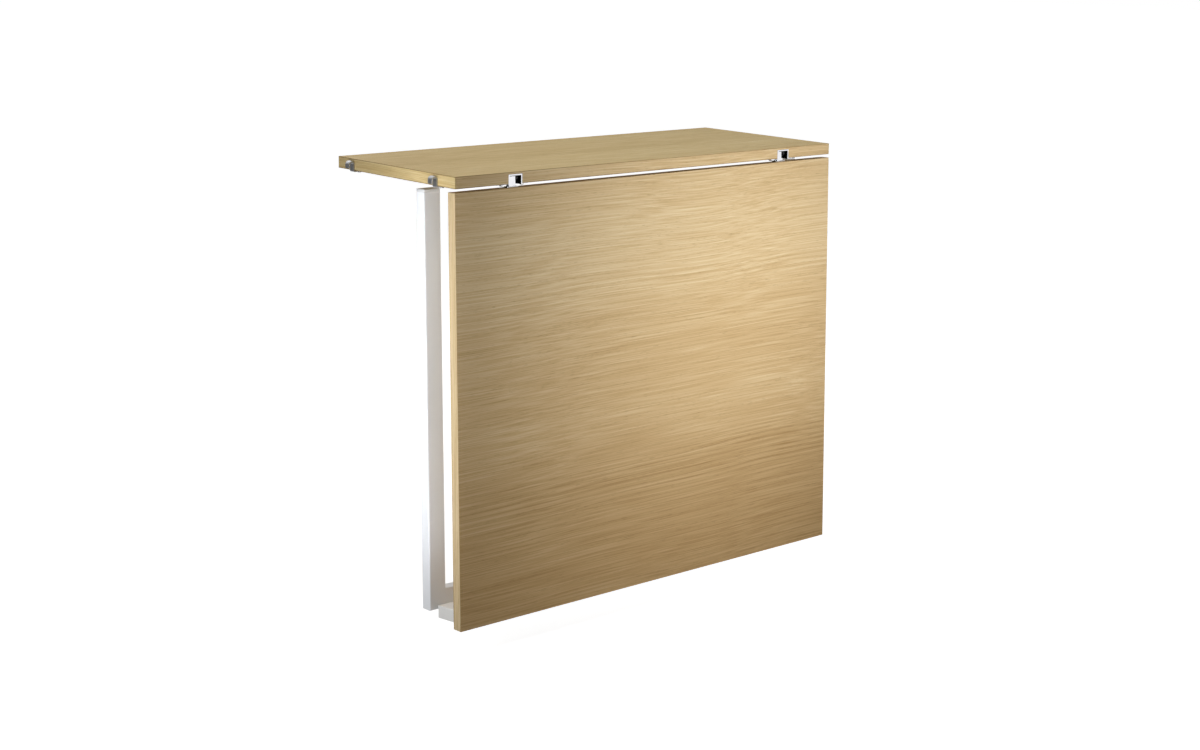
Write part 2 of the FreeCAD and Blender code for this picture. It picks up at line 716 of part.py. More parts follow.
def make_leaf_bands():
    """The oak strips round the leaf's edge. The hinge edge's strip lets the arms through."""
    low = f"{BOARD_BOTTOM} + veneer_thickness"
    hinge_edge = new_body("leaf_hinge_edge_band")
    outline = rectangle("0", "0", CORE_WIDTH, "band_thickness")
    add(hinge_edge, "strip", "XY", "0", CORE_THICKNESS, [outline])
    slots = arm_slots("band_thickness", "veneer_thickness")
    cut(hinge_edge, "slots", "XZ", "0", "band_thickness", slots)
    edge_x = f"-{HALF_WIDTH} + band_thickness"
    place(hinge_edge, edge_x, f"{HINGE_EDGE} - band_thickness", low, on_leaf=True)
    add_node(hinge_edge, "leaf_hinge_edge_band")
    free_edge = box("leaf_free_edge_band", CORE_WIDTH, "band_thickness", CORE_THICKNESS)
    place(free_edge, edge_x, FREE_EDGE, low, on_leaf=True)
    add_node(free_edge, "leaf_free_edge_band")
    for end, x in (("left", f"-{HALF_WIDTH}"), ("right", f"{HALF_WIDTH} - band_thickness")):
        name = f"leaf_{end}_band"
        strip = box(name, "band_thickness", "leaf_length", CORE_THICKNESS)
        place(strip, x, FREE_EDGE, low, on_leaf=True)
        add_node(strip, name)


def make_arm(side):
    """The hinge's arm: a flat-faced head on the pin, a collar on the leaf's edge and a tongue.

    Its own origin is the left end of the pin's axis; the tongue runs along -Y.
    """
    body = new_body(f"{side}_hinge_arm")
    head = rounded_rectangle(
        f"(-{PIN_TO_LEAF})", "(-arm_head)", f"({PIN_TO_LEAF} + arm_head)", "(2 * arm_head)", "arm_corner"
    )
    add(body, "head", "YZ", "0", "arm_width", [head])
    reach = f"({PIN_TO_LEAF} + arm_tongue)"
    bar = rectangle(f"(-{reach})", "(-arm_thickness / 2)", reach, "arm_thickness")
    add(body, "bar", "YZ", "0", "arm_width", [bar])
    collar = rectangle(f"(-{PIN_TO_LEAF})", "(-collar_height / 2)", "collar_thickness", "collar_height")
    add(body, "collar", "YZ", "((arm_width - collar_width) / 2)", "collar_width", [collar])
    bore = ("0", "0", "(hinge_pin_radius + running_gap)")
    cut(body, "bore", "YZ", "0", "arm_width", [bore])
    holes = [
        ("(arm_width / 2)", f"(-({PIN_TO_LEAF} + {along}))", "(screw_shank_radius + fit_gap)")
        for along in ARM_SCREWS
    ]
    cut(body, "holes", "XY", "(-arm_thickness / 2)", "arm_thickness", holes)
    x = f"{HINGES[side]} - {HALF_WIDTH} - arm_width / 2"
    place(body, x, PIN_Y, PIN_Z, on_leaf=True)
    return add_node(body, f"{side}_hinge_arm")


def plate_screw_places():
    """Where the leg hinge plates' screws go, from the leaf's side and the rail's outer face."""
    out = "(plate_width / 2 - plate_screw_inset)"
    middle = "(plate_inset + plate_depth / 2)"
    return [(f"({centre} {side} {out})", middle) for centre in LEG_HINGES.values() for side in "-+"]


def make_rail():
    """The rail under the leaf's free edge that carries the leg frame, with tapered ends.

    Its own origin is its lower left corner at the leaf's free edge.
    """
    body = new_body("leg_rail")
    section = [
        ("0", "0"),
        ("rail_length", "0"),
        ("(rail_length - rail_taper)", "rail_height"),
        ("rail_taper", "rail_height"),
    ]
    add(body, "rail", "XZ", "0", "rail_thickness", [section])
    offset = "(shelf_width / 2 - rail_length / 2)"
    recesses = [
        rectangle(
            f"({centre} - {offset} - plate_width / 2 - fit_gap)",
            "(plate_inset - fit_gap)",
            "(plate_width + 2 * fit_gap)",
            "(plate_depth + 2 * fit_gap)",
        )
        for centre in LEG_HINGES.values()
    ]
    cut(body, "recesses", "XY", "0", "plate_thickness", recesses)
    pilots = [
        (f"({x} - {offset})", y, "(screw_shank_radius + seat_gap)")
        for x, y in plate_screw_places()
    ]
    cut(body, "pilots", "XY", "0", "screw_length", pilots)
    middle = "(rail_thickness / 2)"
    cut(body, "bores", "XY", "0", "rail_bore_depth", [(x, middle, "rail_bore_radius") for x in RAIL_SCREWS])
    holes = [(x, middle, "(rail_screw_radius + fit_gap)") for x in RAIL_SCREWS]
    cut(body, "holes", "XY", "0", "rail_height", holes)
    place(body, "-rail_length / 2", FREE_EDGE, RAIL_BOTTOM, on_leaf=True)
    return add_node(body, "leg_rail")


def make_leg_plate(side):
    """A leg hinge's plate, let into the rail, with its knuckle.

    Its own origin is the outer left corner of the plate's underside.
    """
    body = new_body(f"{side}_leg_hinge_plate")
    plate = rectangle("0", "0", "plate_width", "plate_depth")
    add(body, "plate", "XY", "0", "plate_thickness", [plate])
    axis_y = "(rail_thickness - leg_pin_inset - plate_inset)"
    drop = "(leg_gap + leg_pin_inset)"
    start = "((plate_width - leg_knuckle_length) / 2)"
    neck = rectangle(
        f"({axis_y} - knuckle_neck / 2)", f"(-{drop})", "knuckle_neck", f"({drop} + plate_thickness)"
    )
    add(body, "neck", "YZ", start, "leg_knuckle_length", [neck])
    add(body, "knuckle", "YZ", start, "leg_knuckle_length", [(axis_y, f"(-{drop})", "leg_knuckle_radius")])
    bore = (axis_y, f"(-{drop})", "(leg_pin_radius + running_gap)")
    cut(body, "bore", "YZ", start, "leg_knuckle_length", [bore])
    spots = ("plate_screw_inset", "(plate_width - plate_screw_inset)")
    middle = "(plate_depth / 2)"
    holes = [(x, middle, "(screw_shank_radius + seat_gap)") for x in spots]
    cut(body, "holes", "XY", "0", "plate_thickness", holes)
    for index, x in enumerate(spots):
        countersink(body, f"hole{index}", x, middle, "0")
    x = f"{LEG_HINGES[side]} - {HALF_WIDTH} - plate_width / 2"
    place(body, x, f"{FREE_EDGE} + plate_inset", RAIL_BOTTOM, on_leaf=True)
    return add_node(body, f"{side}_leg_hinge_plate")


def make_leaf(screw, flat_screw, rail_screw):
    """The hinged leaf and what is fixed to it."""
    make_leaf_core()
    make_leaf_veneers()
    make_leaf_bands()
    for side in HINGES:
        make_arm(side)
    make_rail()
    for side in LEG_HINGES:
        make_leg_plate(side)
    arm_screws = [
        (f"({centre} - {HALF_WIDTH})", f"({HINGE_EDGE} - {along})", BOARD_BOTTOM)
        for centre in HINGES.values()
        for along in ARM_SCREWS
    ]
    make_group("arm_screws", screw, arm_screws, on_leaf=True)
    seat = f"({RAIL_BOTTOM} + rail_bore_depth)"
    rail_screws = [
        (f"({x} - rail_length / 2)", f"({FREE_EDGE} + rail_thickness / 2)", seat)
        for x in RAIL_SCREWS
    ]
    make_group("rail_screws", rail_screw, rail_screws, on_leaf=True)
    plate_screws = [
        (f"({x} - {HALF_WIDTH})", f"({FREE_EDGE} + {y})", RAIL_BOTTOM)
        for x, y in plate_screw_places()
    ]
    make_group("plate_screws", flat_screw, plate_screws, on_leaf=True)


# ---------------------------------------------------------------- leg frame

def tube_section(width, height):
    """The loops of a tube's section: its outside and its inside."""
    outside = rounded_rectangle("0", "0", width, height, "tube_corner")
    inside = rounded_rectangle(
        "tube_wall", "tube_wall", f"({width} - 2 * tube_wall)", f"({height} - 2 * tube_wall)",
        "tube_inner_corner",
    )
    return [outside, inside]


def make_leg(side):
    """A leg tube, mitred where it meets the cross tube.

    Its own origin is the outer corner of the mitre.
    """
    body = new_body(f"{side}_leg_tube")
    add(body, "tube", "XZ", "0", LEG_LENGTH, tube_section("tube_width", "tube_depth"))
    inner_corner = ("tube_width", "tube_width") if side == "left" else ("0", "tube_width")
    mitre = [("0", "0"), ("tube_width", "0"), inner_corner]
    cut(body, "mitre", "XY", "0", "tube_depth", [mitre])
    x = f"-{HALF_WIDTH}" if side == "left" else f"{HALF_WIDTH} - tube_width"
    place(body, x, FRAME_Y, FRAME_Z, on_leaf=True)
    return add_node(body, f"{side}_leg_tube")


def make_cross_tube():
    """The tube that joins the legs, notched for the two hinge knuckles."""
    body = new_body("cross_tube")
    add(body, "tube", "YZ", "0", "shelf_width", tube_section("tube_width", "tube_depth"))
    left = [("0", "0"), ("tube_width", "tube_width"), ("0", "tube_width")]
    right = [
        ("shelf_width", "0"),
        ("shelf_width", "tube_width"),
        ("(shelf_width - tube_width)", "tube_width"),
    ]
    cut(body, "mitres", "XY", "0", "tube_depth", [left, right])
    notches = [
        rectangle(f"({centre} - {NOTCH_LENGTH} / 2)", "0", NOTCH_LENGTH, NOTCH)
        for centre in LEG_HINGES.values()
    ]
    cut(body, "notches", "XY", f"(tube_depth - {NOTCH})", NOTCH, notches)
    spots = block_screw_places()
    holes = [(x, y, "(screw_shank_radius + seat_gap)") for x, y in spots]
    cut(body, "holes", "XY", "0", "tube_wall", holes)
    for index, (x, y) in enumerate(spots):
        countersink(body, f"hole{index}", x, y, "0")
    place(body, f"-{HALF_WIDTH}", FRAME_Y, FRAME_Z, on_leaf=True)
    return add_node(body, "cross_tube")


def block_screw_places():
    """Where the hinge blocks' screws go, from the cross tube's own origin."""
    return [
        (f"({centre} {side} block_screw_pitch / 2)", "(tube_width / 2)")
        for centre in LEG_HINGES.values()
        for side in "-+"
    ]


def make_block(side):
    """The block inside the cross tube that holds a leg hinge's pin beside the knuckle.

    Its own origin is its lower left corner at the frame's end.
    """
    body = new_body(f"{side}_hinge_block")
    width = f"(tube_width - 2 * {BLOCK_INSET})"
    height = f"(tube_depth - 2 * {BLOCK_INSET})"
    add(body, "block", "XY", "0", height, [rectangle("0", "0", "block_length", width)])
    inner_notch = f"({NOTCH} - {BLOCK_INSET})"
    start = f"((block_length - {NOTCH_LENGTH}) / 2)"
    notch = rectangle(start, "0", NOTCH_LENGTH, inner_notch)
    cut(body, "notch", "XY", f"({height} - {inner_notch})", inner_notch, [notch])
    pin_low = f"(leg_pin_inset - {BLOCK_INSET})"
    bore = (pin_low, f"({height} - {pin_low})", "(leg_pin_radius + seat_gap)")
    cut(body, "bore", "YZ", "0", "block_length", [bore])
    pilots = [
        (f"(block_length / 2 {way} block_screw_pitch / 2)", f"({width} / 2)",
         "(screw_shank_radius + seat_gap)")
        for way in "-+"
    ]
    cut(body, "pilots", "XY", "0", f"(block_screw_length - {BLOCK_INSET})", pilots)
    x = f"{LEG_HINGES[side]} - {HALF_WIDTH} - block_length / 2"
    place(body, x, f"{FRAME_Y} + {BLOCK_INSET}", f"{FRAME_Z} + {BLOCK_INSET}", on_leaf=True)
    return add_node(body, f"{side}_hinge_block")


def make_leg_pin(side):
    """The pin of a leg hinge, held in its block."""
    name = f"{side}_leg_hinge_pin"
    rod = pin(name, "leg_pin_radius", "block_length")
    x = f"{LEG_HINGES[side]} - {HALF_WIDTH} - block_length / 2"
    y = f"{FRAME_Y} + leg_pin_inset"
    z = f"{FRAME_Z} + tube_depth - leg_pin_inset"
    place(rod, x, y, z, on_leaf=True, axis=(0, 1, 0), angle="90")
    return add_node(rod, name)


def make_foot_cap(side):
    """A plastic cap that closes a leg and stands on the floor when the table is open.

    Its own origin is the lower left corner of the tube's end.
    """
    body = new_body(f"{side}_foot_cap")
    head = rounded_rectangle("0", "0", "tube_width", "tube_depth", "tube_corner")
    add(body, "head", "XZ", "0", "cap_height", [head])
    inset = "(tube_wall + fit_gap)"
    plug = rectangle(inset, inset, f"(tube_width - 2 * {inset})", f"(tube_depth - 2 * {inset})")
    add(body, "plug", "XZ", "(-cap_plug)", "cap_plug", [plug])
    solid = body.Tip
    end_face = [
        f"Face{index}"
        for index, face in enumerate(solid.Shape.Faces, start=1)
        if face.CenterOfMass.y > number("cap_height") - LEAST
    ]
    easing = body.newObject("PartDesign::Fillet", f"{body.Name}_easing")
    easing.Base = (solid, end_face)
    bind(easing, "Radius", "cap_round")
    doc.recompute()
    x = f"-{HALF_WIDTH}" if side == "left" else f"{HALF_WIDTH} - tube_width"
    place(body, x, TUBE_END, FRAME_Z, on_leaf=True)
    return add_node(body, f"{side}_foot_cap")


def make_leg_frame(block_screw):
    """The folding leg frame."""
    for side in LEG_HINGES:
        make_leg(side)
    make_cross_tube()
    for side in LEG_HINGES:
        make_block(side)
        make_leg_pin(side)
        make_foot_cap(side)
    places = [
        (f"({x} - {HALF_WIDTH})", f"({FRAME_Y} + {y})", FRAME_Z) for x, y in block_screw_places()
    ]
    make_group("block_screws", block_screw, places, on_leaf=True)


# ---------------------------------------------------------------- build and write

def main():
    """Builds the table, checks every object and writes one file for each node."""
    wood_screw = make_screw(
        "wood_screw", "screw_head_radius", "screw_head_height", "screw_shank_radius",
        "screw_length", flat=False,
    )
    flat_screw = make_screw(
        "flat_screw", "screw_head_radius", "screw_head_height", "screw_shank_radius",
        "screw_length", flat=True,
    )
    block_screw = make_screw(
        "short_flat_screw", "screw_head_radius", "screw_head_height", "screw_shank_radius",
        "block_screw_length", flat=True,
    )
    rail_screw = make_screw(
        "long_screw", "rail_head_radius", "rail_head_height", "rail_screw_radius",
        RAIL_SCREW_LENGTH, flat=False,
    )
    make_shelf(wood_screw)
    make_leaf(wood_screw, flat_screw, rail_screw)
    make_leg_frame(block_screw)
    doc.recompute()
    for thing in doc.Objects:
        if "Invalid" in thing.State or "Error" in thing.State:
            raise RuntimeError(f"{thing.Name} did not build: {thing.State}")
    for piece in nodes:
        if piece.Shape.isNull() or not piece.Shape.isValid():
            raise RuntimeError(f"{piece.Label} has no valid shape")
    os.makedirs("parts", exist_ok=True)
    for piece in nodes:
        piece.Shape.exportStep(f"parts/{piece.Label}.step")
    print(f"{len(nodes)} nodes written")


main()
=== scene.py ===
"""Dresses the wall mounted drop leaf table: oak boards, bright hinges and hooks, white legs.

The shelf's pieces are shaped where they hang. The leaf, its rail and the leg frame are shaped with
the leaf level with the shelf and the legs folded beneath it, and are then swung down to rest.
"""
from __future__ import annotations

import json
import logging
import math
from collections.abc import Callable, Iterable, Sequence
from dataclasses import dataclass, field
from enum import Enum, IntEnum

import bmesh
import bpy
from mathutils import Color, Matrix, Vector

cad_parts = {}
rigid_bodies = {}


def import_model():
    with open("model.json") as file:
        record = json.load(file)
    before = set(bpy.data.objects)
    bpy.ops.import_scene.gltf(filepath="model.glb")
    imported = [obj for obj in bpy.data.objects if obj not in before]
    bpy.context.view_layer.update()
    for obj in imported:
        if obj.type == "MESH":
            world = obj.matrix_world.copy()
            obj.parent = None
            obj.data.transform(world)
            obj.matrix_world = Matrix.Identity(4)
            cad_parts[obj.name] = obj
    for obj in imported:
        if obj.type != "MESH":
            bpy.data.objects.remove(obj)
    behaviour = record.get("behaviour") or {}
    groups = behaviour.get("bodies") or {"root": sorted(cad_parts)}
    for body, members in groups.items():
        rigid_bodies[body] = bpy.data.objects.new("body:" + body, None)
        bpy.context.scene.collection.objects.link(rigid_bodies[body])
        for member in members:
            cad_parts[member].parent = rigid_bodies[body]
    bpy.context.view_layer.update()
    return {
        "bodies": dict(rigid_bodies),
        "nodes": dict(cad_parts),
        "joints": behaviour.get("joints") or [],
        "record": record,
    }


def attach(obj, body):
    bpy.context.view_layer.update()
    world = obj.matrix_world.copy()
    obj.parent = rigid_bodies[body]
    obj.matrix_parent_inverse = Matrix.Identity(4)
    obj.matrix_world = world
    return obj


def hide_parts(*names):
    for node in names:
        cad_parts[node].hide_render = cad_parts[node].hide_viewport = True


LOG = logging.getLogger("drop_leaf_table")
# The face mark for raw wood edges, and for metal faces that take painted shade.
RAW_OR_SHADED_MARK = "raw"
WHITE = (1.0, 1.0, 1.0, 1.0)
SCREEN_FULL = 255.0
ROD_SIDES = 32
SMOOTH_BELOW = 40.0
RIGHT_ANGLE = 90.0
MATRIX_SIDE = 4

MM = 0.001
SAW_MARGIN = MM / 1000
MERGE_REACH = MM / 500
TOUCHING = MM / 100

Reach = tuple[float, float]
Edge = bmesh.types.BMEdge
Face = bmesh.types.BMFace
Socket = bpy.types.NodeSocket


class BodyName(Enum):
    """The bodies that pieces ride on."""

    SHELF = "shelf"
    LEAF = "leaf"
    LEGS = "leg_frame"


class SlotName(Enum):
    """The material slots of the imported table."""

    OAK = "oak_veneer"
    CORE = "board_core"
    LACQUER = "white_lacquer"
    ENAMEL = "white_enamel"
    PLASTIC = "white_plastic"
    NYLON = "black_nylon"
    CHROME = "chrome"
    STEEL = "plain_steel"
    SCREW = "zinc_screw"


class Side(Enum):
    """The two ends of the table, with the way each one faces along X."""

    LEFT = -1
    RIGHT = 1

    @property
    def word(self) -> str:
        """The side's name as the nodes write it."""
        return self.name.lower()


class Axis(IntEnum):
    """The axes, as the parts of a point are numbered."""

    X = 0
    Y = 1
    Z = 2


class Grain(Enum):
    """The way that the wood's grain runs, with the turns about X, Y and Z that lay it along X."""

    ALONG_X = (0.0, 0.0, 0.0)
    ALONG_Y = (0.0, 0.0, -90.0)
    ALONG_Z = (0.0, 90.0, 0.0)


class Joining(Enum):
    """What one workpiece does to another."""

    CUT = "DIFFERENCE"
    WELD = "UNION"


class Sum(Enum):
    """The kinds of sum that a finish works out."""

    ADD = "ADD"
    SUBTRACT = "SUBTRACT"
    MULTIPLY = "MULTIPLY"
    COSINE = "COSINE"
    LARGER = "MAXIMUM"


class Mixing(Enum):
    """How one colour goes over another."""

    COVER = "MIX"
    TINT = "MULTIPLY"


class Easing(Enum):
    """The shape of the way between a ramp's two ends."""

    STRAIGHT = "LINEAR"
    GENTLE = "SMOOTHSTEP"


class Rounding(IntEnum):
    """How an edge is rounded, as the number of faces that make it."""

    CHAMFER = 1
    EASED = 2
    SMOOTH = 3
    ROUND = 4
    DOMED = 5


# ---------------------------------------------------------------- layout and shaping


@dataclass(frozen=True)
class Block:
    """An upright block of space, in metres."""

    low: Vector
    high: Vector

    @classmethod
    def spanning(cls, across: Reach, along: Reach, up: Reach) -> Block:
        """The block between two places on each of X, Y and Z."""
        low, high = zip(across, along, up)
        return cls(Vector(low), Vector(high))

    @property
    def size(self) -> Vector:
        """The block's three sides."""
        return self.high - self.low

    @property
    def centre(self) -> Vector:
        """The middle of the block."""
        return (self.low + self.high) / 2

    def reach(self, axis: Axis) -> Reach:
        """The block's two ends along an axis."""
        return self.low[axis], self.high[axis]

    def narrowed(self, margin: float) -> Block:
        """The block with each face moved in by a margin."""
        step = Vector((margin, margin, margin))
        return Block(self.low + step, self.high - step)

    def holds(self, point: Vector) -> bool:
        """Whether a point lies in the block or on one of its faces."""
        return all(low <= part <= high for low, part, high in zip(self.low, point, self.high))


@dataclass(frozen=True)
class Layout:
    """The position in which a body's pieces are shaped, and how they get from there to rest."""

    body: BodyName
    to_rest: Matrix

    def block(self, node: str) -> Block:
        """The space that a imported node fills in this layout.

        Args:
            node: The node's name.

        Returns:
            The node's block in the layout.
        """
        back = self.to_rest.inverted()
        corners = [back @ vertex.co for vertex in bpy.data.objects[node].data.vertices]
        low = Vector(min(corner[axis] for corner in corners) for axis in Axis)
        high = Vector(max(corner[axis] for corner in corners) for axis in Axis)
        return Block(low, high)


@dataclass(frozen=True)
class Finish:
    """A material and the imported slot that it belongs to."""

    material: bpy.types.Material
    slot: SlotName


def span_of(edge: Edge, axis: Axis) -> float:
    """How far an edge runs along an axis."""
    first, last = (vertex.co for vertex in edge.verts)
    return abs(first[axis] - last[axis])


def lies_at(edge: Edge, axis: Axis, level: float) -> bool:
    """Whether both ends of an edge lie at one place on an axis."""
    return all(abs(vertex.co[axis] - level) < TOUCHING for vertex in edge.verts)


@dataclass
class Workpiece:
    """A mesh on the bench, shaped in its layout's position."""

    name: str
    mesh: bmesh.types.BMesh = field(default_factory=bmesh.new)

    def slab(self, block: Block) -> Workpiece:
        """Adds a block of material.

        Args:
            block: The space that it fills.

        Returns:
            The workpiece itself.
        """
        verts = bmesh.ops.create_cube(self.mesh, size=1.0)["verts"]
        bmesh.ops.scale(self.mesh, vec=block.size, verts=verts)
        bmesh.ops.translate(self.mesh, vec=block.centre, verts=verts)
        return self

    def prism(self, outline: Sequence[Vector], depth: Vector) -> Workpiece:
        """Adds an outline drawn out along a line.

        Args:
            outline: The corners of the outline, in order.
            depth: How far and which way it is drawn out.

        Returns:
            The workpiece itself.
        """
        face = self.mesh.faces.new([self.mesh.verts.new(point) for point in outline])
        drawn = bmesh.ops.extrude_face_region(self.mesh, geom=[face], use_keep_orig=True)["geom"]
        end = [item for item in drawn if isinstance(item, bmesh.types.BMVert)]
        bmesh.ops.translate(self.mesh, vec=depth, verts=end)
        return self

    def rod(
        self, start: Vector, end: Vector, radius: float, end_radius: float | None = None
    ) -> Workpiece:
        """Adds a round rod or a cone.

        Args:
            start: The middle of its first end.
            end: The middle of its last end.
            radius: Its radius, at the first end where the two differ.
            end_radius: Its radius at the last end, where that differs.

        Returns:
            The workpiece itself.
        """
        span = end - start
        turn = Vector((0.0, 0.0, 1.0)).rotation_difference(span.normalized())
        place = Matrix.Translation((start + end) / 2) @ turn.to_matrix().to_4x4()
        bmesh.ops.create_cone(
            self.mesh, cap_ends=True, segments=ROD_SIDES, radius1=radius,
            radius2=radius if end_radius is None else end_radius, depth=span.length, matrix=place,
        )
        return self

    def slice(self, point: Vector, outwards: Vector) -> None:
        """Saws the piece through and leaves the sawn end open.

        Args:
            point: A point of the saw cut.
            outwards: The side that falls away.
        """
        bmesh.ops.bisect_plane(
            self.mesh, geom=[*self.mesh.verts, *self.mesh.edges, *self.mesh.faces],
            dist=SAW_MARGIN, plane_co=point, plane_no=outwards, clear_outer=True,
        )

    def ease(
        self,
        radius: float,
        rounding: Rounding = Rounding.EASED,
        chosen: Callable[[Edge], bool] = lambda edge: True,
        sharpest: float = 35.0,
    ) -> None:
        """Rounds the piece's sharp edges.

        Args:
            radius: The width of the rounding.
            rounding: How finely it is rounded.
            chosen: Says of an edge whether it is one to round.
            sharpest: The turn, in degrees, past which an edge counts as sharp.
        """
        self.settle()
        limit = math.radians(sharpest)
        edges = [
            edge
            for edge in self.mesh.edges
            if edge.is_manifold and edge.calc_face_angle(0.0) > limit and chosen(edge)
        ]
        bmesh.ops.bevel(
            self.mesh, geom=edges, offset=radius, offset_type="OFFSET", segments=rounding,
            profile=0.5, affect="EDGES", material=-1, clamp_overlap=True,
        )

    def mark_raw_or_shaded(self, is_raw_or_shaded: Callable[[Face], bool]) -> None:
        """Marks the faces that stay raw, or that take painted shade, for the finish to read.

        Args:
            is_raw_or_shaded: Says of a face whether it is raw, or whether it takes painted shade.
        """
        mark = self.mesh.faces.layers.float.new(RAW_OR_SHADED_MARK)
        self.mesh.normal_update()
        for face in self.mesh.faces:
            face[mark] = 1.0 if is_raw_or_shaded(face) else 0.0

    def settle(self) -> None:
        """Joins corners that lie together and points every face outwards."""
        bmesh.ops.remove_doubles(self.mesh, verts=self.mesh.verts, dist=MERGE_REACH)
        bmesh.ops.recalc_face_normals(self.mesh, faces=self.mesh.faces)

    def lift_off(self) -> bpy.types.Mesh:
        """Takes the mesh off the bench, which uses the workpiece up.

        Returns:
            The mesh.
        """
        data = bpy.data.meshes.new(self.name)
        self.mesh.to_mesh(data)
        self.mesh.free()
        return data

    def join(self, other: Workpiece) -> None:
        """Takes over another piece's mesh as it is.

        Args:
            other: The other piece, which is used up.
        """
        data = other.lift_off()
        self.mesh.from_mesh(data)
        bpy.data.meshes.remove(data)

    def stamp(self, pattern: bpy.types.Mesh, spot: Vector) -> None:
        """Adds a copy of a mesh.

        Args:
            pattern: The mesh.
            spot: How far it is moved.
        """
        known = set(self.mesh.verts)
        self.mesh.from_mesh(pattern)
        fresh = [vertex for vertex in self.mesh.verts if vertex not in known]
        bmesh.ops.translate(self.mesh, vec=spot, verts=fresh)

    def combine(self, other: Workpiece, joining: Joining) -> None:
        """Cuts another piece out of this one, or welds it on.

        Args:
            other: The other piece, which is used up.
            joining: What it does to this one.
        """
        pair = []
        for piece in (self, other):
            piece.settle()
            body = bpy.data.objects.new(piece.name, piece.lift_off())
            bpy.context.scene.collection.objects.link(body)
            pair.append(body)
        cut = pair[0].modifiers.new("combine", "BOOLEAN")
        cut.operation = joining.value
        cut.object = pair[1]
        cut.solver = "EXACT"
        depsgraph = bpy.context.evaluated_depsgraph_get()
        result = bpy.data.meshes.new_from_object(pair[0].evaluated_get(depsgraph))
        self.mesh = bmesh.new()
        self.mesh.from_mesh(result)
        leftovers = [body.data for body in pair] + [result]
        for body in pair:
            bpy.data.objects.remove(body)
        for data in leftovers:
            bpy.data.meshes.remove(data)
        self.settle()

    def set_down(
        self, layout: Layout, finish: Finish, stands_for: Iterable[str]
    ) -> bpy.types.Object:
        """Turns the workpiece into a finished piece at rest on its body.

        Args:
            layout: The layout that it was shaped in.
            finish: Its finish.
            stands_for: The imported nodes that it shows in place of.

        Returns:
            The finished object.
        """
        bmesh.ops.transform(self.mesh, matrix=layout.to_rest, verts=self.mesh.verts)
        self.settle()
        data = self.lift_off()
        data.materials.append(finish.material)
        data.shade_smooth()
        data.set_sharp_from_angle(angle=math.radians(SMOOTH_BELOW))
        piece = bpy.data.objects.new(self.name, data)
        bpy.context.scene.collection.objects.link(piece)
        shading = piece.modifiers.new("flat_faces_stay_flat", "WEIGHTED_NORMAL")
        shading.keep_sharp = True
        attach(piece, layout.body.value)
        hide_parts(*stands_for)
        LOG.info("made %s with %d faces", self.name, len(data.polygons))
        return piece


# ---------------------------------------------------------------- finishes


@dataclass(frozen=True)
class Pattern:
    """A noise pattern: its cycles per metre along X and across it, its fineness and its weight."""

    along: float
    across: float
    detail: float = 2.0
    rough: float = 0.5
    weight: float = 1.0


@dataclass(frozen=True)
class Wave:
    """A smooth wave: the place of one crest, how far apart the crests are, and its weight."""

    crest: float
    pitch: float
    weight: float = 1.0


@dataclass(frozen=True)
class Ramp:
    """A range of values, and what its two ends become."""

    low: float
    high: float
    start: float = 0.0
    end: float = 1.0


class NodeBench:
    """A node tree, built up a node at a time."""

    def __init__(self, tree: bpy.types.NodeTree) -> None:
        """Takes over a tree and empties it."""
        self.tree = tree
        self.tree.nodes.clear()

    def node(
        self, kind: str, inputs: dict[str | int, object] | None = None, **settings: object
    ) -> bpy.types.Node:
        """Adds a node.

        Args:
            kind: The node's type, without its ShaderNode prefix.
            inputs: Values or sockets for its inputs.
            settings: Values for its own settings.

        Returns:
            The node.
        """
        made = self.tree.nodes.new(f"ShaderNode{kind}")
        for key, value in settings.items():
            setattr(made, key, value)
        for key, value in (inputs or {}).items():
            self.feed(made.inputs[key], value)
        return made

    def feed(self, socket: Socket, value: object) -> None:
        """Gives an input a value or a link.

        Args:
            socket: The input.
            value: A number, a tuple or another node's output.
        """
        if isinstance(value, Socket):
            self.tree.links.new(value, socket)
        else:
            socket.default_value = value

    def work_out(self, kind: Sum, first: object, second: object = 0.0) -> Socket:
        """The result of a sum of two values."""
        return self.node("Math", {0: first, 1: second}, operation=kind.value).outputs[0]

    def weigh(self, layer: Socket, weight: float) -> Socket:
        """A layer from 0 to 1, centred on nought and scaled."""
        return self.work_out(Sum.MULTIPLY, self.work_out(Sum.SUBTRACT, layer, 0.5), weight)

    def spread(self, value: Socket, ramp: Ramp, easing: Easing = Easing.STRAIGHT) -> Socket:
        """A value moved by a ramp and held inside it.

        Args:
            value: The value.
            ramp: The range that it is in and the one that it is moved to.
            easing: The shape of the way between the ramp's ends.

        Returns:
            The moved value.
        """
        inputs = {
            "Value": value, "From Min": ramp.low, "From Max": ramp.high,
            "To Min": ramp.start, "To Max": ramp.end,
        }
        return self.node("MapRange", inputs, interpolation_type=easing.value).outputs["Result"]

    def choose(self, amount: Socket, first: object, second: object) -> Socket:
        """The first value where the amount is 0, and the second where it is 1."""
        return self.node("Mix", {0: amount, 2: first, 3: second}, data_type="FLOAT").outputs[0]


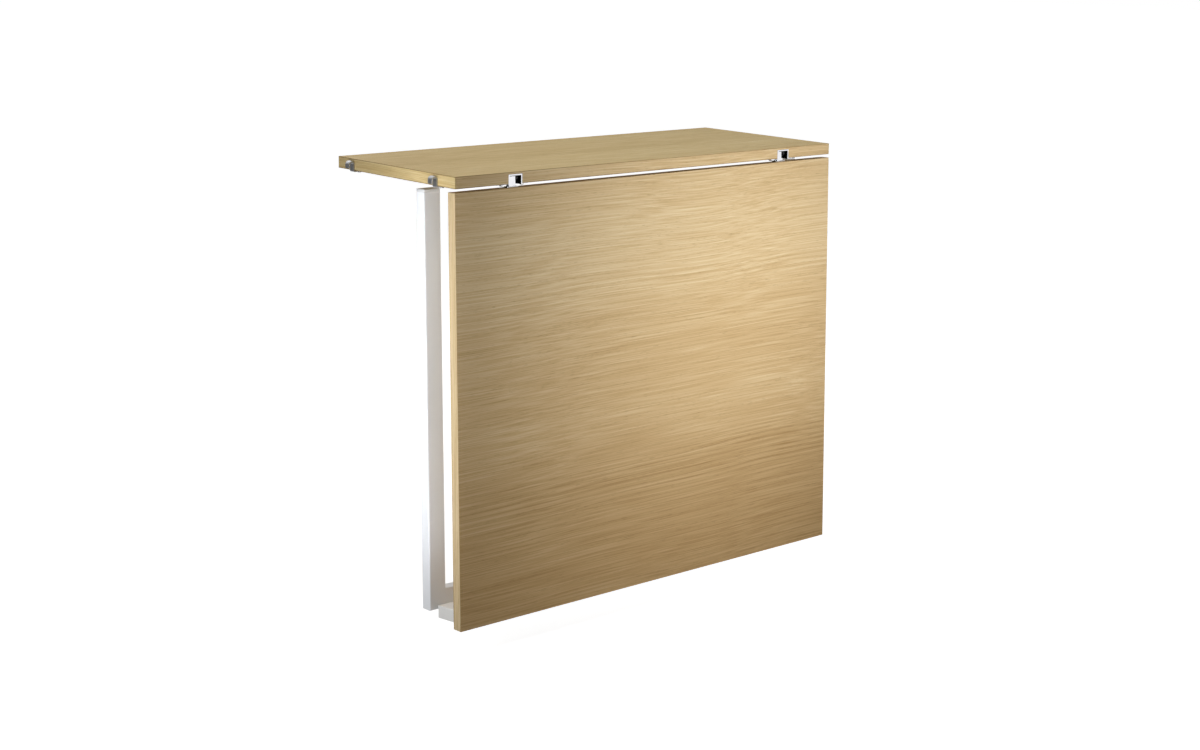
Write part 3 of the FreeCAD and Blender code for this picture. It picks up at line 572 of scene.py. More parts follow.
class Recipe(NodeBench):
    """The node tree of one material."""

    def __init__(self, name: str) -> None:
        """Starts a material with a shader on its output.

        Args:
            name: The material's name.
        """
        self.material = bpy.data.materials.new(name)
        self.material.use_nodes = True
        super().__init__(self.material.node_tree)
        self.shader = self.node("BsdfPrincipled")
        self.node("OutputMaterial", {"Surface": self.shader.outputs["BSDF"]})

    def shade(self, **inputs: object) -> None:
        """Sets the shader's inputs, with underscores for the spaces in their names."""
        for key, value in inputs.items():
            self.feed(self.shader.inputs[key.replace("_", " ")], value)

    def place(self, turn: Sequence[float] = (0.0, 0.0, 0.0)) -> Socket:
        """Object coordinates.

        Args:
            turn: How far they are turned about each axis, in degrees.

        Returns:
            The coordinates.
        """
        raw = self.node("TexCoord").outputs["Object"]
        angles = tuple(math.radians(angle) for angle in turn)
        return self.node("Mapping", {"Vector": raw, "Rotation": angles}).outputs["Vector"]

    def noise(self, place: Socket, pattern: Pattern) -> Socket:
        """A noise pattern from 0 to 1.

        Args:
            place: Where the pattern is read.
            pattern: The pattern.

        Returns:
            The noise.
        """
        scale = (pattern.along, pattern.across, pattern.across)
        drawn = self.node("Mapping", {"Vector": place, "Scale": scale}).outputs["Vector"]
        inputs = {
            "Vector": drawn, "Scale": 1.0, "Detail": pattern.detail, "Roughness": pattern.rough,
        }
        return self.node("TexNoise", inputs).outputs["Fac"]

    def wave(self, across: Socket, wave: Wave) -> Socket:
        """A wave from -1 to 1, read at a distance across the grain."""
        turn = self.work_out(Sum.SUBTRACT, across, wave.crest)
        turn = self.work_out(Sum.MULTIPLY, turn, math.tau / wave.pitch)
        return self.work_out(Sum.COSINE, turn)

    def blend(
        self, amount: object, first: object, second: object, mixing: Mixing = Mixing.COVER
    ) -> Socket:
        """A mix of two colours.

        Args:
            amount: How much of the second colour goes in.
            first: The first colour.
            second: The second colour.
            mixing: The way they mix.

        Returns:
            The mixed colour.
        """
        made = self.node("Mix", {0: amount}, data_type="RGBA", blend_type=mixing.value)
        below, above = (socket for socket in made.inputs if socket.type == "RGBA")
        self.feed(below, first)
        self.feed(above, second)
        return next(socket for socket in made.outputs if socket.type == "RGBA")

    def raw_or_shaded_faces(self) -> Socket:
        """1 on the faces that a workpiece marked as raw or as taking painted shade, and 0
        elsewhere.
        """
        return self.node("Attribute", attribute_name=RAW_OR_SHADED_MARK).outputs["Fac"]

    def bump(self, height: Socket, depth: float, strength: float) -> None:
        """Gives the surface a relief of so many metres, of which a share shows."""
        made = self.node("Bump", {"Height": height, "Distance": depth, "Strength": strength})
        self.shade(Normal=made.outputs["Normal"])


@dataclass(frozen=True)
class Colour:
    """A colour as a screen shows it, each part from 0 to 255."""

    red: float
    green: float
    blue: float

    def linear(self) -> tuple[float, float, float, float]:
        """The colour as the shader wants it."""
        shown = Color(part / SCREEN_FULL for part in (self.red, self.green, self.blue))
        return (*shown.from_srgb_to_scene_linear(), 1.0)


class Log(Enum):
    """The logs that the oak is cut from, each with its pale, middling and dark wood."""

    LEAF = (Colour(229, 210, 171), Colour(208, 181, 137), Colour(178, 147, 101))
    SHELF = (Colour(229, 211, 162), Colour(208, 183, 130), Colour(178, 149, 96))
    EDGE = (Colour(233, 216, 182), Colour(216, 194, 154), Colour(188, 161, 116))


@dataclass(frozen=True)
class OakVeneer:
    """Lacquered oak: wide bands of tone, groups of growth lines, brushed streaks and short pores,
    with painted shade that darkens and warms the hanging leaf towards its bottom.

    The grain sways and ripples. Growth lines show where their groups' waves crest, and drift along
    the grain. Places across the grain and the weights of what bends it are in metres.
    """

    grain: Grain
    log: Log
    pore: Colour = Colour(146, 114, 72)
    cut: Colour = Colour(128, 98, 60)
    # Painted shade: the warm tint laid on towards the hanging leaf's bottom.
    painted_shade_tint: Colour = Colour(255, 246, 234)
    bands: Pattern = Pattern(0.6, 9.0, 3.0, weight=0.4)
    lines: Pattern = Pattern(2.4, 250.0, 2.0, 0.6, 0.2)
    streaks: Pattern = Pattern(5.5, 700.0, 1.0, 0.7, 0.72)
    dashes: Pattern = Pattern(70.0, 1700.0, 1.0)
    sway: Pattern = Pattern(2.2, 2.6, 0.0, weight=0.026)
    ripple: Pattern = Pattern(9.0, 20.0, 1.0, weight=0.001)
    drift: Pattern = Pattern(0.6, 7.0, 0.0, weight=0.0264)
    patches: Pattern = Pattern(2.5, 12.0, 1.0, weight=0.5)
    growth: Wave = Wave(0.0, 0.0088, 0.14)
    groups: Wave = Wave(-0.495, 0.311)
    # Painted shade: a broad wave across the grain, darkest near the hanging leaf's bottom.
    painted_shade_wave: Wave = Wave(-0.93, 0.95, 0.07)
    showing: Ramp = Ramp(0.8, 1.0, 0.03, 0.5)
    dark_tones: Ramp = Ramp(-0.32, 0.0)
    pale_tones: Ramp = Ramp(0.0, 0.32)
    # Painted shade: how strongly the warm tint lies, full near the leaf's bottom and none above.
    painted_shade_warming: Ramp = Ramp(-0.93, -0.4, 1.0, 0.0)
    crowding: Ramp = Ramp(0.35, 0.6, 0.58, 0.7)
    pore_edge: Ramp = Ramp(0.0, 0.06)
    gloss: Ramp = Ramp(0.3, 0.7, 0.64, 0.51)
    pore_stain: float = 0.35
    cut_stain: float = 0.65
    shine: float = 0.05
    line_relief: float = 0.7
    relief_depth: float = 0.03 * MM
    relief_strength: float = 0.6

    def make(self) -> bpy.types.Material:
        """Builds the material.

        Returns:
            The material.
        """
        recipe = Recipe(f"{self.log.name}_oak_{self.grain.name}".lower())
        pale, mean, dark = (wood.linear() for wood in self.log.value)
        place = self._bent(recipe, recipe.place(self.grain.value))
        parts = recipe.node("SeparateXYZ", {0: place}).outputs
        across = recipe.work_out(Sum.ADD, parts["Y"], parts["Z"])
        lines = recipe.noise(place, self.lines)
        streaks = recipe.noise(place, self.streaks)
        tone = recipe.weigh(recipe.noise(place, self.bands), self.bands.weight)
        for layer, weight in (
            (lines, self.lines.weight),
            (streaks, self.streaks.weight),
            (self._growth(recipe, place, across), self.growth.weight),
        ):
            tone = recipe.work_out(Sum.ADD, tone, recipe.weigh(layer, weight))
        # Painted shade: a broad wave across the grain darkens the wood, most near the hanging
        # leaf's bottom, and a warm tint deepens it there.
        painted_shade_wave = recipe.work_out(Sum.MULTIPLY, recipe.wave(across, self.painted_shade_wave), self.painted_shade_wave.weight)
        tone = recipe.work_out(Sum.SUBTRACT, tone, painted_shade_wave)
        wood = recipe.blend(recipe.spread(tone, self.dark_tones), dark, mean)
        wood = recipe.blend(recipe.spread(tone, self.pale_tones), wood, pale)
        shade_warmth = recipe.spread(across, self.painted_shade_warming)
        wood = recipe.blend(shade_warmth, wood, self.painted_shade_tint.linear(), Mixing.TINT)
        pores = self._pores(recipe, place, lines)
        for spots, share, stain in (
            (pores, self.pore_stain, self.pore),
            (recipe.raw_or_shaded_faces(), self.cut_stain, self.cut),
        ):
            wood = recipe.blend(recipe.work_out(Sum.MULTIPLY, spots, share), wood, stain.linear())
        recipe.shade(Base_Color=wood, Specular_IOR_Level=self.shine)
        recipe.shade(Roughness=recipe.spread(streaks, self.gloss))
        relief = recipe.work_out(Sum.MULTIPLY, lines, self.line_relief)
        relief = recipe.work_out(Sum.ADD, streaks, relief)
        relief = recipe.work_out(Sum.SUBTRACT, relief, pores)
        recipe.bump(relief, self.relief_depth, self.relief_strength)
        return recipe.material

    def _growth(self, recipe: Recipe, place: Socket, across: Socket) -> Socket:
        """Groups of thin parallel growth lines that come and go.

        Args:
            recipe: The material's tree.
            place: The bent coordinates.
            across: The distance across the grain.

        Returns:
            The lines, 0.5 where there are none.
        """
        drift = recipe.work_out(Sum.MULTIPLY, recipe.noise(place, self.drift), self.drift.weight)
        lines = recipe.wave(recipe.work_out(Sum.ADD, across, drift), self.growth)
        patches = recipe.weigh(recipe.noise(place, self.patches), self.patches.weight)
        group = recipe.work_out(Sum.ADD, recipe.wave(across, self.groups), patches)
        strength = recipe.spread(group, self.showing)
        return recipe.work_out(Sum.ADD, recipe.work_out(Sum.MULTIPLY, lines, strength), 0.5)

    def _bent(self, recipe: Recipe, place: Socket) -> Socket:
        """Bends the grain in long gentle waves with a finer ripple on them.

        Args:
            recipe: The material's tree.
            place: The coordinates with the grain along X.

        Returns:
            The bent coordinates.
        """
        slow = recipe.weigh(recipe.noise(place, self.sway), self.sway.weight)
        quick = recipe.weigh(recipe.noise(place, self.ripple), self.ripple.weight)
        shift = recipe.work_out(Sum.ADD, slow, quick)
        offset = recipe.node("CombineXYZ", {"Y": shift, "Z": shift}).outputs["Vector"]
        moved = recipe.node("VectorMath", {0: place, 1: offset}, operation=Sum.ADD.value)
        return moved.outputs["Vector"]

    def _pores(self, recipe: Recipe, place: Socket, lines: Socket) -> Socket:
        """Short dark pores, which crowd where the fine lines are dark.

        Args:
            recipe: The material's tree.
            place: The bent coordinates.
            lines: The fine lines' tone.

        Returns:
            1 in a pore and 0 beside it.
        """
        dashes = recipe.noise(place, self.dashes)
        crowd = recipe.spread(lines, self.crowding)
        return recipe.spread(recipe.work_out(Sum.SUBTRACT, dashes, crowd), self.pore_edge)


@dataclass(frozen=True)
class ParticleBoard:
    """Raw pressed chips, as a board's core shows where it is cut."""

    pale: Colour = Colour(196, 170, 128)
    dark: Colour = Colour(140, 110, 72)
    chips: float = 420.0
    dust: Pattern = Pattern(900.0, 900.0, 3.0)
    chip_share: float = 0.7
    dust_share: float = 0.3
    gloss: Ramp = Ramp(0.2, 0.8, 0.75, 0.95)
    relief_depth: float = 0.2 * MM
    relief_strength: float = 0.6

    def make(self) -> bpy.types.Material:
        """Builds the material.

        Returns:
            The material.
        """
        recipe = Recipe("particle_board")
        place = recipe.place()
        chips = recipe.node("TexVoronoi", {"Vector": place, "Scale": self.chips}).outputs["Color"]
        tone = recipe.node("SeparateColor", {0: chips}).outputs[0]
        dust = recipe.noise(place, self.dust)
        mixed = recipe.work_out(
            Sum.ADD,
            recipe.work_out(Sum.MULTIPLY, tone, self.chip_share),
            recipe.work_out(Sum.MULTIPLY, dust, self.dust_share),
        )
        recipe.shade(Base_Color=recipe.blend(mixed, self.dark.linear(), self.pale.linear()))
        recipe.shade(Roughness=recipe.spread(dust, self.gloss))
        recipe.bump(mixed, self.relief_depth, self.relief_strength)
        return recipe.material


@dataclass(frozen=True)
class Coat:
    """An even surface: powder coat on steel, lacquer on wood, or moulded plastic."""

    name: str
    colour: Colour
    shade: Colour
    gloss: float
    peel: float
    depth: float
    fibre: float = 0.0
    clouds: Pattern = Pattern(9.0, 9.0, 3.0)
    clouding: Ramp = Ramp(0.3, 0.7, 0.0, 0.6)
    rubs: Pattern = Pattern(70.0, 70.0, 4.0, 0.6)
    rub_range: Reach = (0.3, 0.7)
    polish: float = 0.05
    scuff: float = 0.07
    fibres: Pattern = Pattern(8.0, 600.0, 2.0)
    refraction: float = 1.5
    relief_strength: float = 0.5

    def make(self) -> bpy.types.Material:
        """Builds the material.

        Returns:
            The material.
        """
        recipe = Recipe(self.name)
        place = recipe.place()
        cloud = recipe.spread(recipe.noise(place, self.clouds), self.clouding)
        recipe.shade(Base_Color=recipe.blend(cloud, self.colour.linear(), self.shade.linear()))
        rubbing = Ramp(*self.rub_range, self.gloss - self.polish, self.gloss + self.scuff)
        recipe.shade(Roughness=recipe.spread(recipe.noise(place, self.rubs), rubbing))
        recipe.shade(IOR=self.refraction)
        height = recipe.noise(place, Pattern(self.peel, self.peel))
        if self.fibre:
            fibres = recipe.work_out(Sum.MULTIPLY, recipe.noise(place, self.fibres), self.fibre)
            height = recipe.work_out(Sum.ADD, height, fibres)
        recipe.bump(height, self.depth, self.relief_strength)
        return recipe.material


@dataclass(frozen=True)
class PlatedMetal:
    """Plated steel, with faint polishing lines and handling marks, and painted near black on the
    marked faces as painted shade in the hinge's pocket.
    """

    name: str
    colour: Colour
    tarnish: Colour
    gloss: float
    wear: float
    line_depth: float
    # Painted shade: the near black of the marked faces inside the hinge's pocket and on the arm's
    # sides.
    raw: Colour = Colour(30, 30, 32)
    clouds: Pattern = Pattern(160.0, 160.0, 4.0, 0.6)
    clouding: Ramp = Ramp(0.35, 0.7)
    marks: Pattern = Pattern(900.0, 900.0, 3.0, 0.6)
    mark_range: Reach = (0.35, 0.75)
    lines: Pattern = Pattern(250.0, 5200.0, 2.0)
    relief_strength: float = 0.4

    def make(self) -> bpy.types.Material:
        """Builds the material.

        Returns:
            The material.
        """
        recipe = Recipe(self.name)
        place = recipe.place()
        cloud = recipe.spread(recipe.noise(place, self.clouds), self.clouding)
        plate = recipe.blend(cloud, self.colour.linear(), self.tarnish.linear())
        # Painted shade: the marked faces take the near black.
        plate = recipe.blend(recipe.raw_or_shaded_faces(), plate, self.raw.linear())
        recipe.shade(Base_Color=plate, Metallic=1.0)
        marking = Ramp(*self.mark_range, self.gloss, self.gloss + self.wear)
        recipe.shade(Roughness=recipe.spread(recipe.noise(place, self.marks), marking))
        recipe.bump(recipe.noise(place, self.lines), self.line_depth, self.relief_strength)
        return recipe.material


@dataclass
class Finishes:
    """Every finish on the table, each made once."""

    plain: dict[SlotName, Finish] = field(default_factory=dict)
    sawn_oak: dict[tuple[Grain, Log], Finish] = field(default_factory=dict)
    satin_chrome: Finish = field(init=False)

    def __post_init__(self) -> None:
        """Makes every finish but the oak."""
        recipes = {
            SlotName.CORE: ParticleBoard(),
            SlotName.LACQUER: Coat(
                "white_lacquer", Colour(240, 240, 238), Colour(232, 232, 229),
                gloss=0.34, peel=420.0, depth=0.03 * MM, fibre=0.5,
            ),
            SlotName.ENAMEL: Coat(
                "white_powder_coat", Colour(239, 242, 246), Colour(233, 236, 241),
                gloss=0.36, peel=900.0, depth=0.03 * MM,
            ),
            # Greyer than the powder coat: partly the caps' own off-white plastic, and partly
            # painted shade for the shelf's shadow that falls on the caps at rest.
            SlotName.PLASTIC: Coat(
                "white_plastic", Colour(217, 219, 222), Colour(207, 209, 212),
                gloss=0.45, peel=1800.0, depth=0.012 * MM,
            ),
            SlotName.NYLON: Coat(
                "black_nylon", Colour(22, 22, 23), Colour(30, 30, 31),
                gloss=0.5, peel=1500.0, depth=0.015 * MM,
            ),
            SlotName.CHROME: PlatedMetal(
                "bright_chrome", Colour(236, 236, 238), Colour(224, 225, 228),
                gloss=0.07, wear=0.08, line_depth=0.002 * MM,
            ),
            SlotName.STEEL: PlatedMetal(
                "bright_steel", Colour(186, 187, 190), Colour(168, 169, 172),
                gloss=0.24, wear=0.14, line_depth=0.006 * MM,
            ),
            SlotName.SCREW: PlatedMetal(
                "zinc_screw", Colour(196, 198, 202), Colour(172, 176, 182),
                gloss=0.2, wear=0.16, line_depth=0.004 * MM,
            ),
        }
        for slot, recipe in recipes.items():
            self.plain[slot] = Finish(recipe.make(), slot)
        satin = PlatedMetal(
            "satin_chrome", Colour(192, 193, 196), Colour(174, 175, 178),
            gloss=0.3, wear=0.12, line_depth=0.003 * MM,
        )
        self.satin_chrome = Finish(satin.make(), SlotName.CHROME)

    def oak(self, grain: Grain, log: Log) -> Finish:
        """The oak of one log with its grain one way.

        Args:
            grain: The way its grain runs.
            log: The log that it comes from.

        Returns:
            The finish, made when it is first asked for.
        """
        if (grain, log) not in self.sawn_oak:
            self.sawn_oak[grain, log] = Finish(OakVeneer(grain, log).make(), SlotName.OAK)
        return self.sawn_oak[grain, log]


# ---------------------------------------------------------------- the wooden boards


@dataclass
class Board:
    """The shelf or the leaf: two oak sheets over four oak edge strips."""

    layout: Layout
    finishes: Finishes
    face: str
    back: str
    log: Log
    strips: dict[str, tuple[Grain, Log]]
    notches: Sequence[Block] = ()
    corner: float = 0.45 * MM
    glue_line: float = 0.25 * MM
    raw_turn: float = 0.9

    def make(self) -> None:
        """Makes the board's sheets and strips."""
        self._sheet(self.face, is_face=True)
        self._sheet(self.back, is_face=False)
        for strip, (grain, log) in self.strips.items():
            self._strip(strip, self.finishes.oak(grain, log))

    def _outline(self, block: Block, depth_axis: Axis) -> list[Vector]:
        """The outline of a piece, with the hinge notches in its front edge.

        Args:
            block: The space that the piece fills.
            depth_axis: Y for a piece seen from above, Z for one seen from the front.

        Returns:
            The corners, in the plane of the piece's low end.
        """
        other = Axis.Y if depth_axis is Axis.Z else Axis.Z
        near, far = block.reach(depth_axis)
        points = [(block.low.x, near)]
        for notch in sorted(self.notches, key=lambda item: item.low.x):
            deep = min(notch.high[depth_axis], far)
            points += [(notch.low.x, near), (notch.low.x, deep)]
            points += [(notch.high.x, deep), (notch.high.x, near)]
        points += [(block.high.x, near), (block.high.x, far), (block.low.x, far)]
        corners = []
        for across, along in points:
            corner = Vector((across, 0.0, 0.0))
            corner[depth_axis] = along
            corner[other] = block.low[other]
            corners.append(corner)
        return corners

    def _sheet(self, node: str, is_face: bool) -> None:
        """One oak sheet, its outer rim eased.

        Args:
            node: The node that it stands for.
            is_face: True for the sheet without notches.
        """
        block = self.layout.block(node)
        piece = Workpiece(f"{node}_oak")
        if is_face or not self.notches:
            piece.slab(block)
        else:
            piece.prism(self._outline(block, Axis.Y), Vector((0.0, 0.0, block.size.z)))
        outer = block.high.z if is_face else block.low.z
        piece.ease(self.corner, Rounding.SMOOTH, lambda edge: lies_at(edge, Axis.Z, outer))
        piece.mark_raw_or_shaded(lambda face: abs(face.normal.z) < self.raw_turn)
        piece.set_down(self.layout, self.finishes.oak(Grain.ALONG_X, self.log), [node])

    def _strip(self, node: str, finish: Finish) -> None:
        """One oak edge strip, with the fine line where it meets its neighbours.

        Args:
            node: The node that it stands for.
            finish: Its oak.
        """
        block = self.layout.block(node)
        piece = Workpiece(f"{node}_oak")
        if self.notches and "front" in node:
            piece.prism(self._outline(block, Axis.Z), Vector((0.0, block.size.y, 0.0)))
        else:
            piece.slab(block)
        piece.ease(self.glue_line, Rounding.CHAMFER)
        piece.mark_raw_or_shaded(lambda face: max(abs(part) for part in face.normal) < self.raw_turn)
        piece.set_down(self.layout, finish, [node])


# ---------------------------------------------------------------- hinges and hooks


@dataclass
class LeafHinge:
    """A leaf hinge: the bright housing in the shelf's edge and the arm on the leaf."""

    side: Side
    shelf: Layout
    leaf: Layout
    finishes: Finishes
    wall: float = 2.0 * MM
    slack: float = 0.2 * MM
    hollow_corner: float = 0.8 * MM
    ear_thickness: float = 1.5 * MM
    ear_front: float = 3.8 * MM
    ear_back: float = 3.0 * MM
    ear_corner: float = 2.0 * MM
    rim: float = 0.35 * MM
    rim_turn: float = 50.0
    back_turn: float = -0.5
    side_turn: float = 0.9
    arm_width: float = 13.0 * MM
    arm_neck: float = 4.0 * MM
    head: float = 3.6 * MM
    head_corner: float = 0.8 * MM
    collar: float = 1.5 * MM
    collar_corner: float = 0.4 * MM
    bush_gap: float = 0.05 * MM
    bush_corner: float = 0.3 * MM
    bush_turn: float = 60.0

    def make(self) -> None:
        """Makes the housing, the bushes and the arm."""
        self._housing()
        self._bushes()
        self._arm()

    def _node(self, part: str) -> str:
        """The name of one of this hinge's nodes."""
        return f"{self.side.word}_hinge_{part}"

    @property
    def pin(self) -> Block:
        """The space that the pin fills, whose middle is the same in both layouts."""
        return self.shelf.block(self._node("pin"))

    @property
    def pocket(self) -> Block:
        """The space that the housing takes out of the shelf."""
        ears = self.shelf.block(self._node("housing"))
        return Block.spanning(
            (self.pin.low.x - self.slack, self.pin.high.x + self.slack),
            (ears.low.y, ears.high.y + self.slack),
            (self.shelf.block("shelf_core").low.z - self.wall, ears.high.z + self.slack),
        )

    def _housing(self) -> None:
        """The housing, bent and pressed from one sheet, with an ear at each side."""
        node = self._node("housing")
        whole = self.shelf.block(node)
        screws = self.shelf.block("housing_screws")
        left, right = self.pin.reach(Axis.X)
        box = Block.spanning((left, right), whole.reach(Axis.Y), whole.reach(Axis.Z))
        inside = Block.spanning(
            (left + self.wall, right - self.wall),
            (box.low.y - self.wall, box.high.y - self.wall),
            (box.low.z - self.wall, box.high.z - self.wall),
        )
        piece = Workpiece(f"{node}_chrome").slab(box)
        hollow = Workpiece("hollow").slab(inside)
        hollow.ease(self.hollow_corner)
        piece.combine(hollow, Joining.CUT)
        ear_depth = (screws.low.y - self.ear_front, screws.high.y + self.ear_back)
        ear_height = (whole.low.z, whole.low.z + self.ear_thickness)
        for free_end, joined_end in (
            (whole.low.x, left + self.wall / 2),
            (whole.high.x, right - self.wall / 2),
        ):
            width = (min(free_end, joined_end), max(free_end, joined_end))
            ear = Workpiece("ear").slab(Block.spanning(width, ear_depth, ear_height))
            ear.ease(
                self.ear_corner, Rounding.ROUND,
                lambda edge, end=free_end: self._is_free_corner(edge, end),
            )
            piece.combine(ear, Joining.WELD)
        piece.ease(self.rim, sharpest=self.rim_turn)
        # Painted shade: the pocket's inner faces that do not face forward are marked to take the
        # metal's near black.
        within = inside.narrowed(-self.rim)
        piece.mark_raw_or_shaded(
            lambda face: within.holds(face.calc_center_median()) and face.normal.y > self.back_turn
        )
        piece.set_down(self.shelf, self.finishes.plain[SlotName.CHROME], [node])

    @staticmethod
    def _is_free_corner(edge: Edge, end: float) -> bool:
        """Whether an ear's edge stands upright at its free end."""
        upright = span_of(edge, Axis.X) + span_of(edge, Axis.Y) < TOUCHING
        return upright and abs(edge.verts[0].co.x - end) < TOUCHING

    def _bushes(self) -> None:
        """The two nylon bushes that keep the arm in the middle of its pin."""
        node = self._node("bushes")
        whole = self.shelf.block(node)
        axis = self.pin.centre
        reach = self.arm_width / 2 + self.bush_gap
        piece = Workpiece(f"{node}_nylon")
        for low_x, high_x in ((whole.low.x, axis.x - reach), (axis.x + reach, whole.high.x)):
            start = Vector((low_x, axis.y, axis.z))
            end = Vector((high_x, axis.y, axis.z))
            length = end - start
            bush = Workpiece("bush").rod(start, end, whole.size.z / 2)
            bore = Workpiece("bore").rod(start - length, end + length, self.pin.size.z / 2)
            bush.combine(bore, Joining.CUT)
            bush.ease(self.bush_corner, sharpest=self.bush_turn)
            piece.join(bush)
        piece.set_down(self.shelf, self.finishes.plain[SlotName.NYLON], [node])

    def _arm(self) -> None:
        """The arm: a flat-faced head round the pin, a collar on the leaf's edge, and the tongue."""
        node = self._node("arm")
        whole = self.leaf.block(node)
        axis = self.pin.centre
        edge_y = self.leaf.block("leaf_hinge_edge_band").high.y
        width = (whole.centre.x - self.arm_width / 2, whole.centre.x + self.arm_width / 2)
        piece = Workpiece(f"{node}_chrome").slab(Block.spanning(
            width, (edge_y, axis.y + self.head), (axis.z - self.head, axis.z + self.head)
        ))
        piece.ease(self.head_corner, Rounding.SMOOTH, lambda edge: span_of(edge, Axis.X) > MM)
        collar = Workpiece("collar").slab(Block.spanning(
            whole.reach(Axis.X), (edge_y, edge_y + self.collar), whole.reach(Axis.Z)
        ))
        collar.ease(self.collar_corner, Rounding.SMOOTH, lambda edge: span_of(edge, Axis.Y) > MM)
        piece.combine(collar, Joining.WELD)
        tongue = Workpiece("tongue").slab(Block.spanning(
            width,
            (whole.low.y, edge_y + self.collar / 2),
            (axis.z - self.arm_neck / 2, axis.z + self.arm_neck / 2),
        ))
        piece.combine(tongue, Joining.WELD)
        piece.ease(self.rim, sharpest=self.rim_turn)
        # Painted shade: the side faces of the arm and its collar are marked to take the metal's
        # near black.
        piece.mark_raw_or_shaded(lambda face: abs(face.normal.x) > self.side_turn)
        piece.set_down(self.leaf, self.finishes.plain[SlotName.CHROME], [node])


@dataclass
class RungHook:
    """A small bent hook at the shelf's end, with its foot under the shelf."""

    node: str
    side: Side
    layout: Layout
    finishes: Finishes
    foot: float = 32.0 * MM
    strap: float = 2.2 * MM
    bend: float = 3.1 * MM
    rise: float = 9.7 * MM
    lip: float = 6.0 * MM
    rim: float = 0.4 * MM
    arc_steps: int = 14

    def make(self) -> None:
        """Bends the hook from its strap."""
        block = self.layout.block(self.node)
        inner_end = block.high.x if self.side is Side.LEFT else block.low.x
        edge_x = inner_end + self.side.value * self.foot
        underside = block.low.z + self.strap
        outline = [
            Vector((edge_x + self.side.value * out, block.low.y, underside + up))
            for out, up in self._profile()
        ]
        piece = Workpiece(f"{self.node}_chrome").prism(outline, Vector((0.0, block.size.y, 0.0)))
        piece.ease(self.rim, chosen=lambda edge: span_of(edge, Axis.Y) < TOUCHING)
        piece.set_down(self.layout, self.finishes.satin_chrome, [self.node])

    def _profile(self) -> list[tuple[float, float]]:
        """The hook's side view.

        Returns:
            Its corners, as distances out from the shelf's end and up from its underside.
        """
        middle = self.strap + self.bend
        outer = self.strap + middle + self.bend
        drop = self.rise - self.lip
        return [
            (-self.foot, -self.strap), (-self.foot, 0.0), (0.0, 0.0), (0.0, self.rise),
            *self._arc((middle, self.rise), middle, math.pi, 0.0)[1:],
            (outer, drop), (outer - self.strap, drop),
            *self._arc((middle, self.rise), self.bend, 0.0, math.pi),
            (self.strap, 0.0),
            *self._arc((0.0, 0.0), self.strap, 0.0, -math.pi / 2)[1:],
        ]

    def _arc(
        self, centre: tuple[float, float], radius: float, start: float, end: float
    ) -> list[tuple[float, float]]:
        """Points on an arc.

        Args:
            centre: The centre's distance out and its height.
            radius: The arc's radius.
            start: Where it starts, in radians from straight out.
            end: Where it ends.

        Returns:
            The points, both ends included.
        """
        points = []
        for step in range(self.arc_steps + 1):
            angle = start + (end - start) * step / self.arc_steps
            out = centre[0] + radius * math.cos(angle)
            points.append((out, centre[1] + radius * math.sin(angle)))
        return points


@dataclass
class PanScrews:
    """Wood screws with domed heads and a cross recess, driven upwards in their layout."""

    node: str
    layout: Layout
    finishes: Finishes
    spots: Sequence[Vector]
    head_radius: float = 3.2 * MM
    head_height: float = 2.0 * MM
    dome: float = 1.5 * MM
    shank_radius: float = 1.7 * MM
    length: float = 13.0 * MM
    tip: float = 2.5 * MM
    point: float = 0.1 * MM
    recess_width: float = 0.9 * MM
    recess_span: float = 3.6 * MM
    recess_depth: float = 1.1 * MM

    def make(self) -> None:
        """Makes every screw of the group as one piece."""
        pattern = self._pattern()
        piece = Workpiece(f"{self.node}_domed")
        for spot in self.spots:
            piece.stamp(pattern, spot)
        bpy.data.meshes.remove(pattern)
        piece.set_down(self.layout, self.finishes.plain[SlotName.SCREW], [self.node])

    def _pattern(self) -> bpy.types.Mesh:
        """One screw.

        Returns:
            Its mesh, with the face that its head bears on at the origin.
        """
        crown = Vector((0.0, 0.0, -self.head_height))
        head = Workpiece("head").rod(Vector(), crown, self.head_radius)
        head.ease(
            self.dome, Rounding.DOMED,
            lambda edge: all(vertex.co.z < crown.z / 2 for vertex in edge.verts),
        )
        half_width = self.recess_width / 2
        half_span = self.recess_span / 2
        height = (2 * crown.z, crown.z + self.recess_depth)
        for across, along in ((half_width, half_span), (half_span, half_width)):
            slot = Block.spanning((-across, across), (-along, along), height)
            head.combine(Workpiece("slot").slab(slot), Joining.CUT)
        shoulder = Vector((0.0, 0.0, self.length - self.tip))
        head.rod(Vector(), shoulder, self.shank_radius)
        head.rod(shoulder, Vector((0.0, 0.0, self.length)), self.shank_radius, self.point)
        return head.lift_off()


# ---------------------------------------------------------------- rail and legs


@dataclass(frozen=True)
class LegHingeFit:
    """What the rail, the hinge plates and the leg frame share: hinge places and screw holes."""

    places: Sequence[float] = (-270.0 * MM, 270.0 * MM)
    thickness: float = 1.5 * MM
    shank: float = 1.72 * MM
    sink: float = 3.22 * MM

    def drill(self, piece: Workpiece, spot: Vector) -> None:
        """Drills a countersunk screw hole up through a sheet's thickness."""
        end = spot + Vector((0.0, 0.0, self.thickness))
        piece.combine(Workpiece("seat").rod(spot, end, self.sink, self.shank), Joining.CUT)


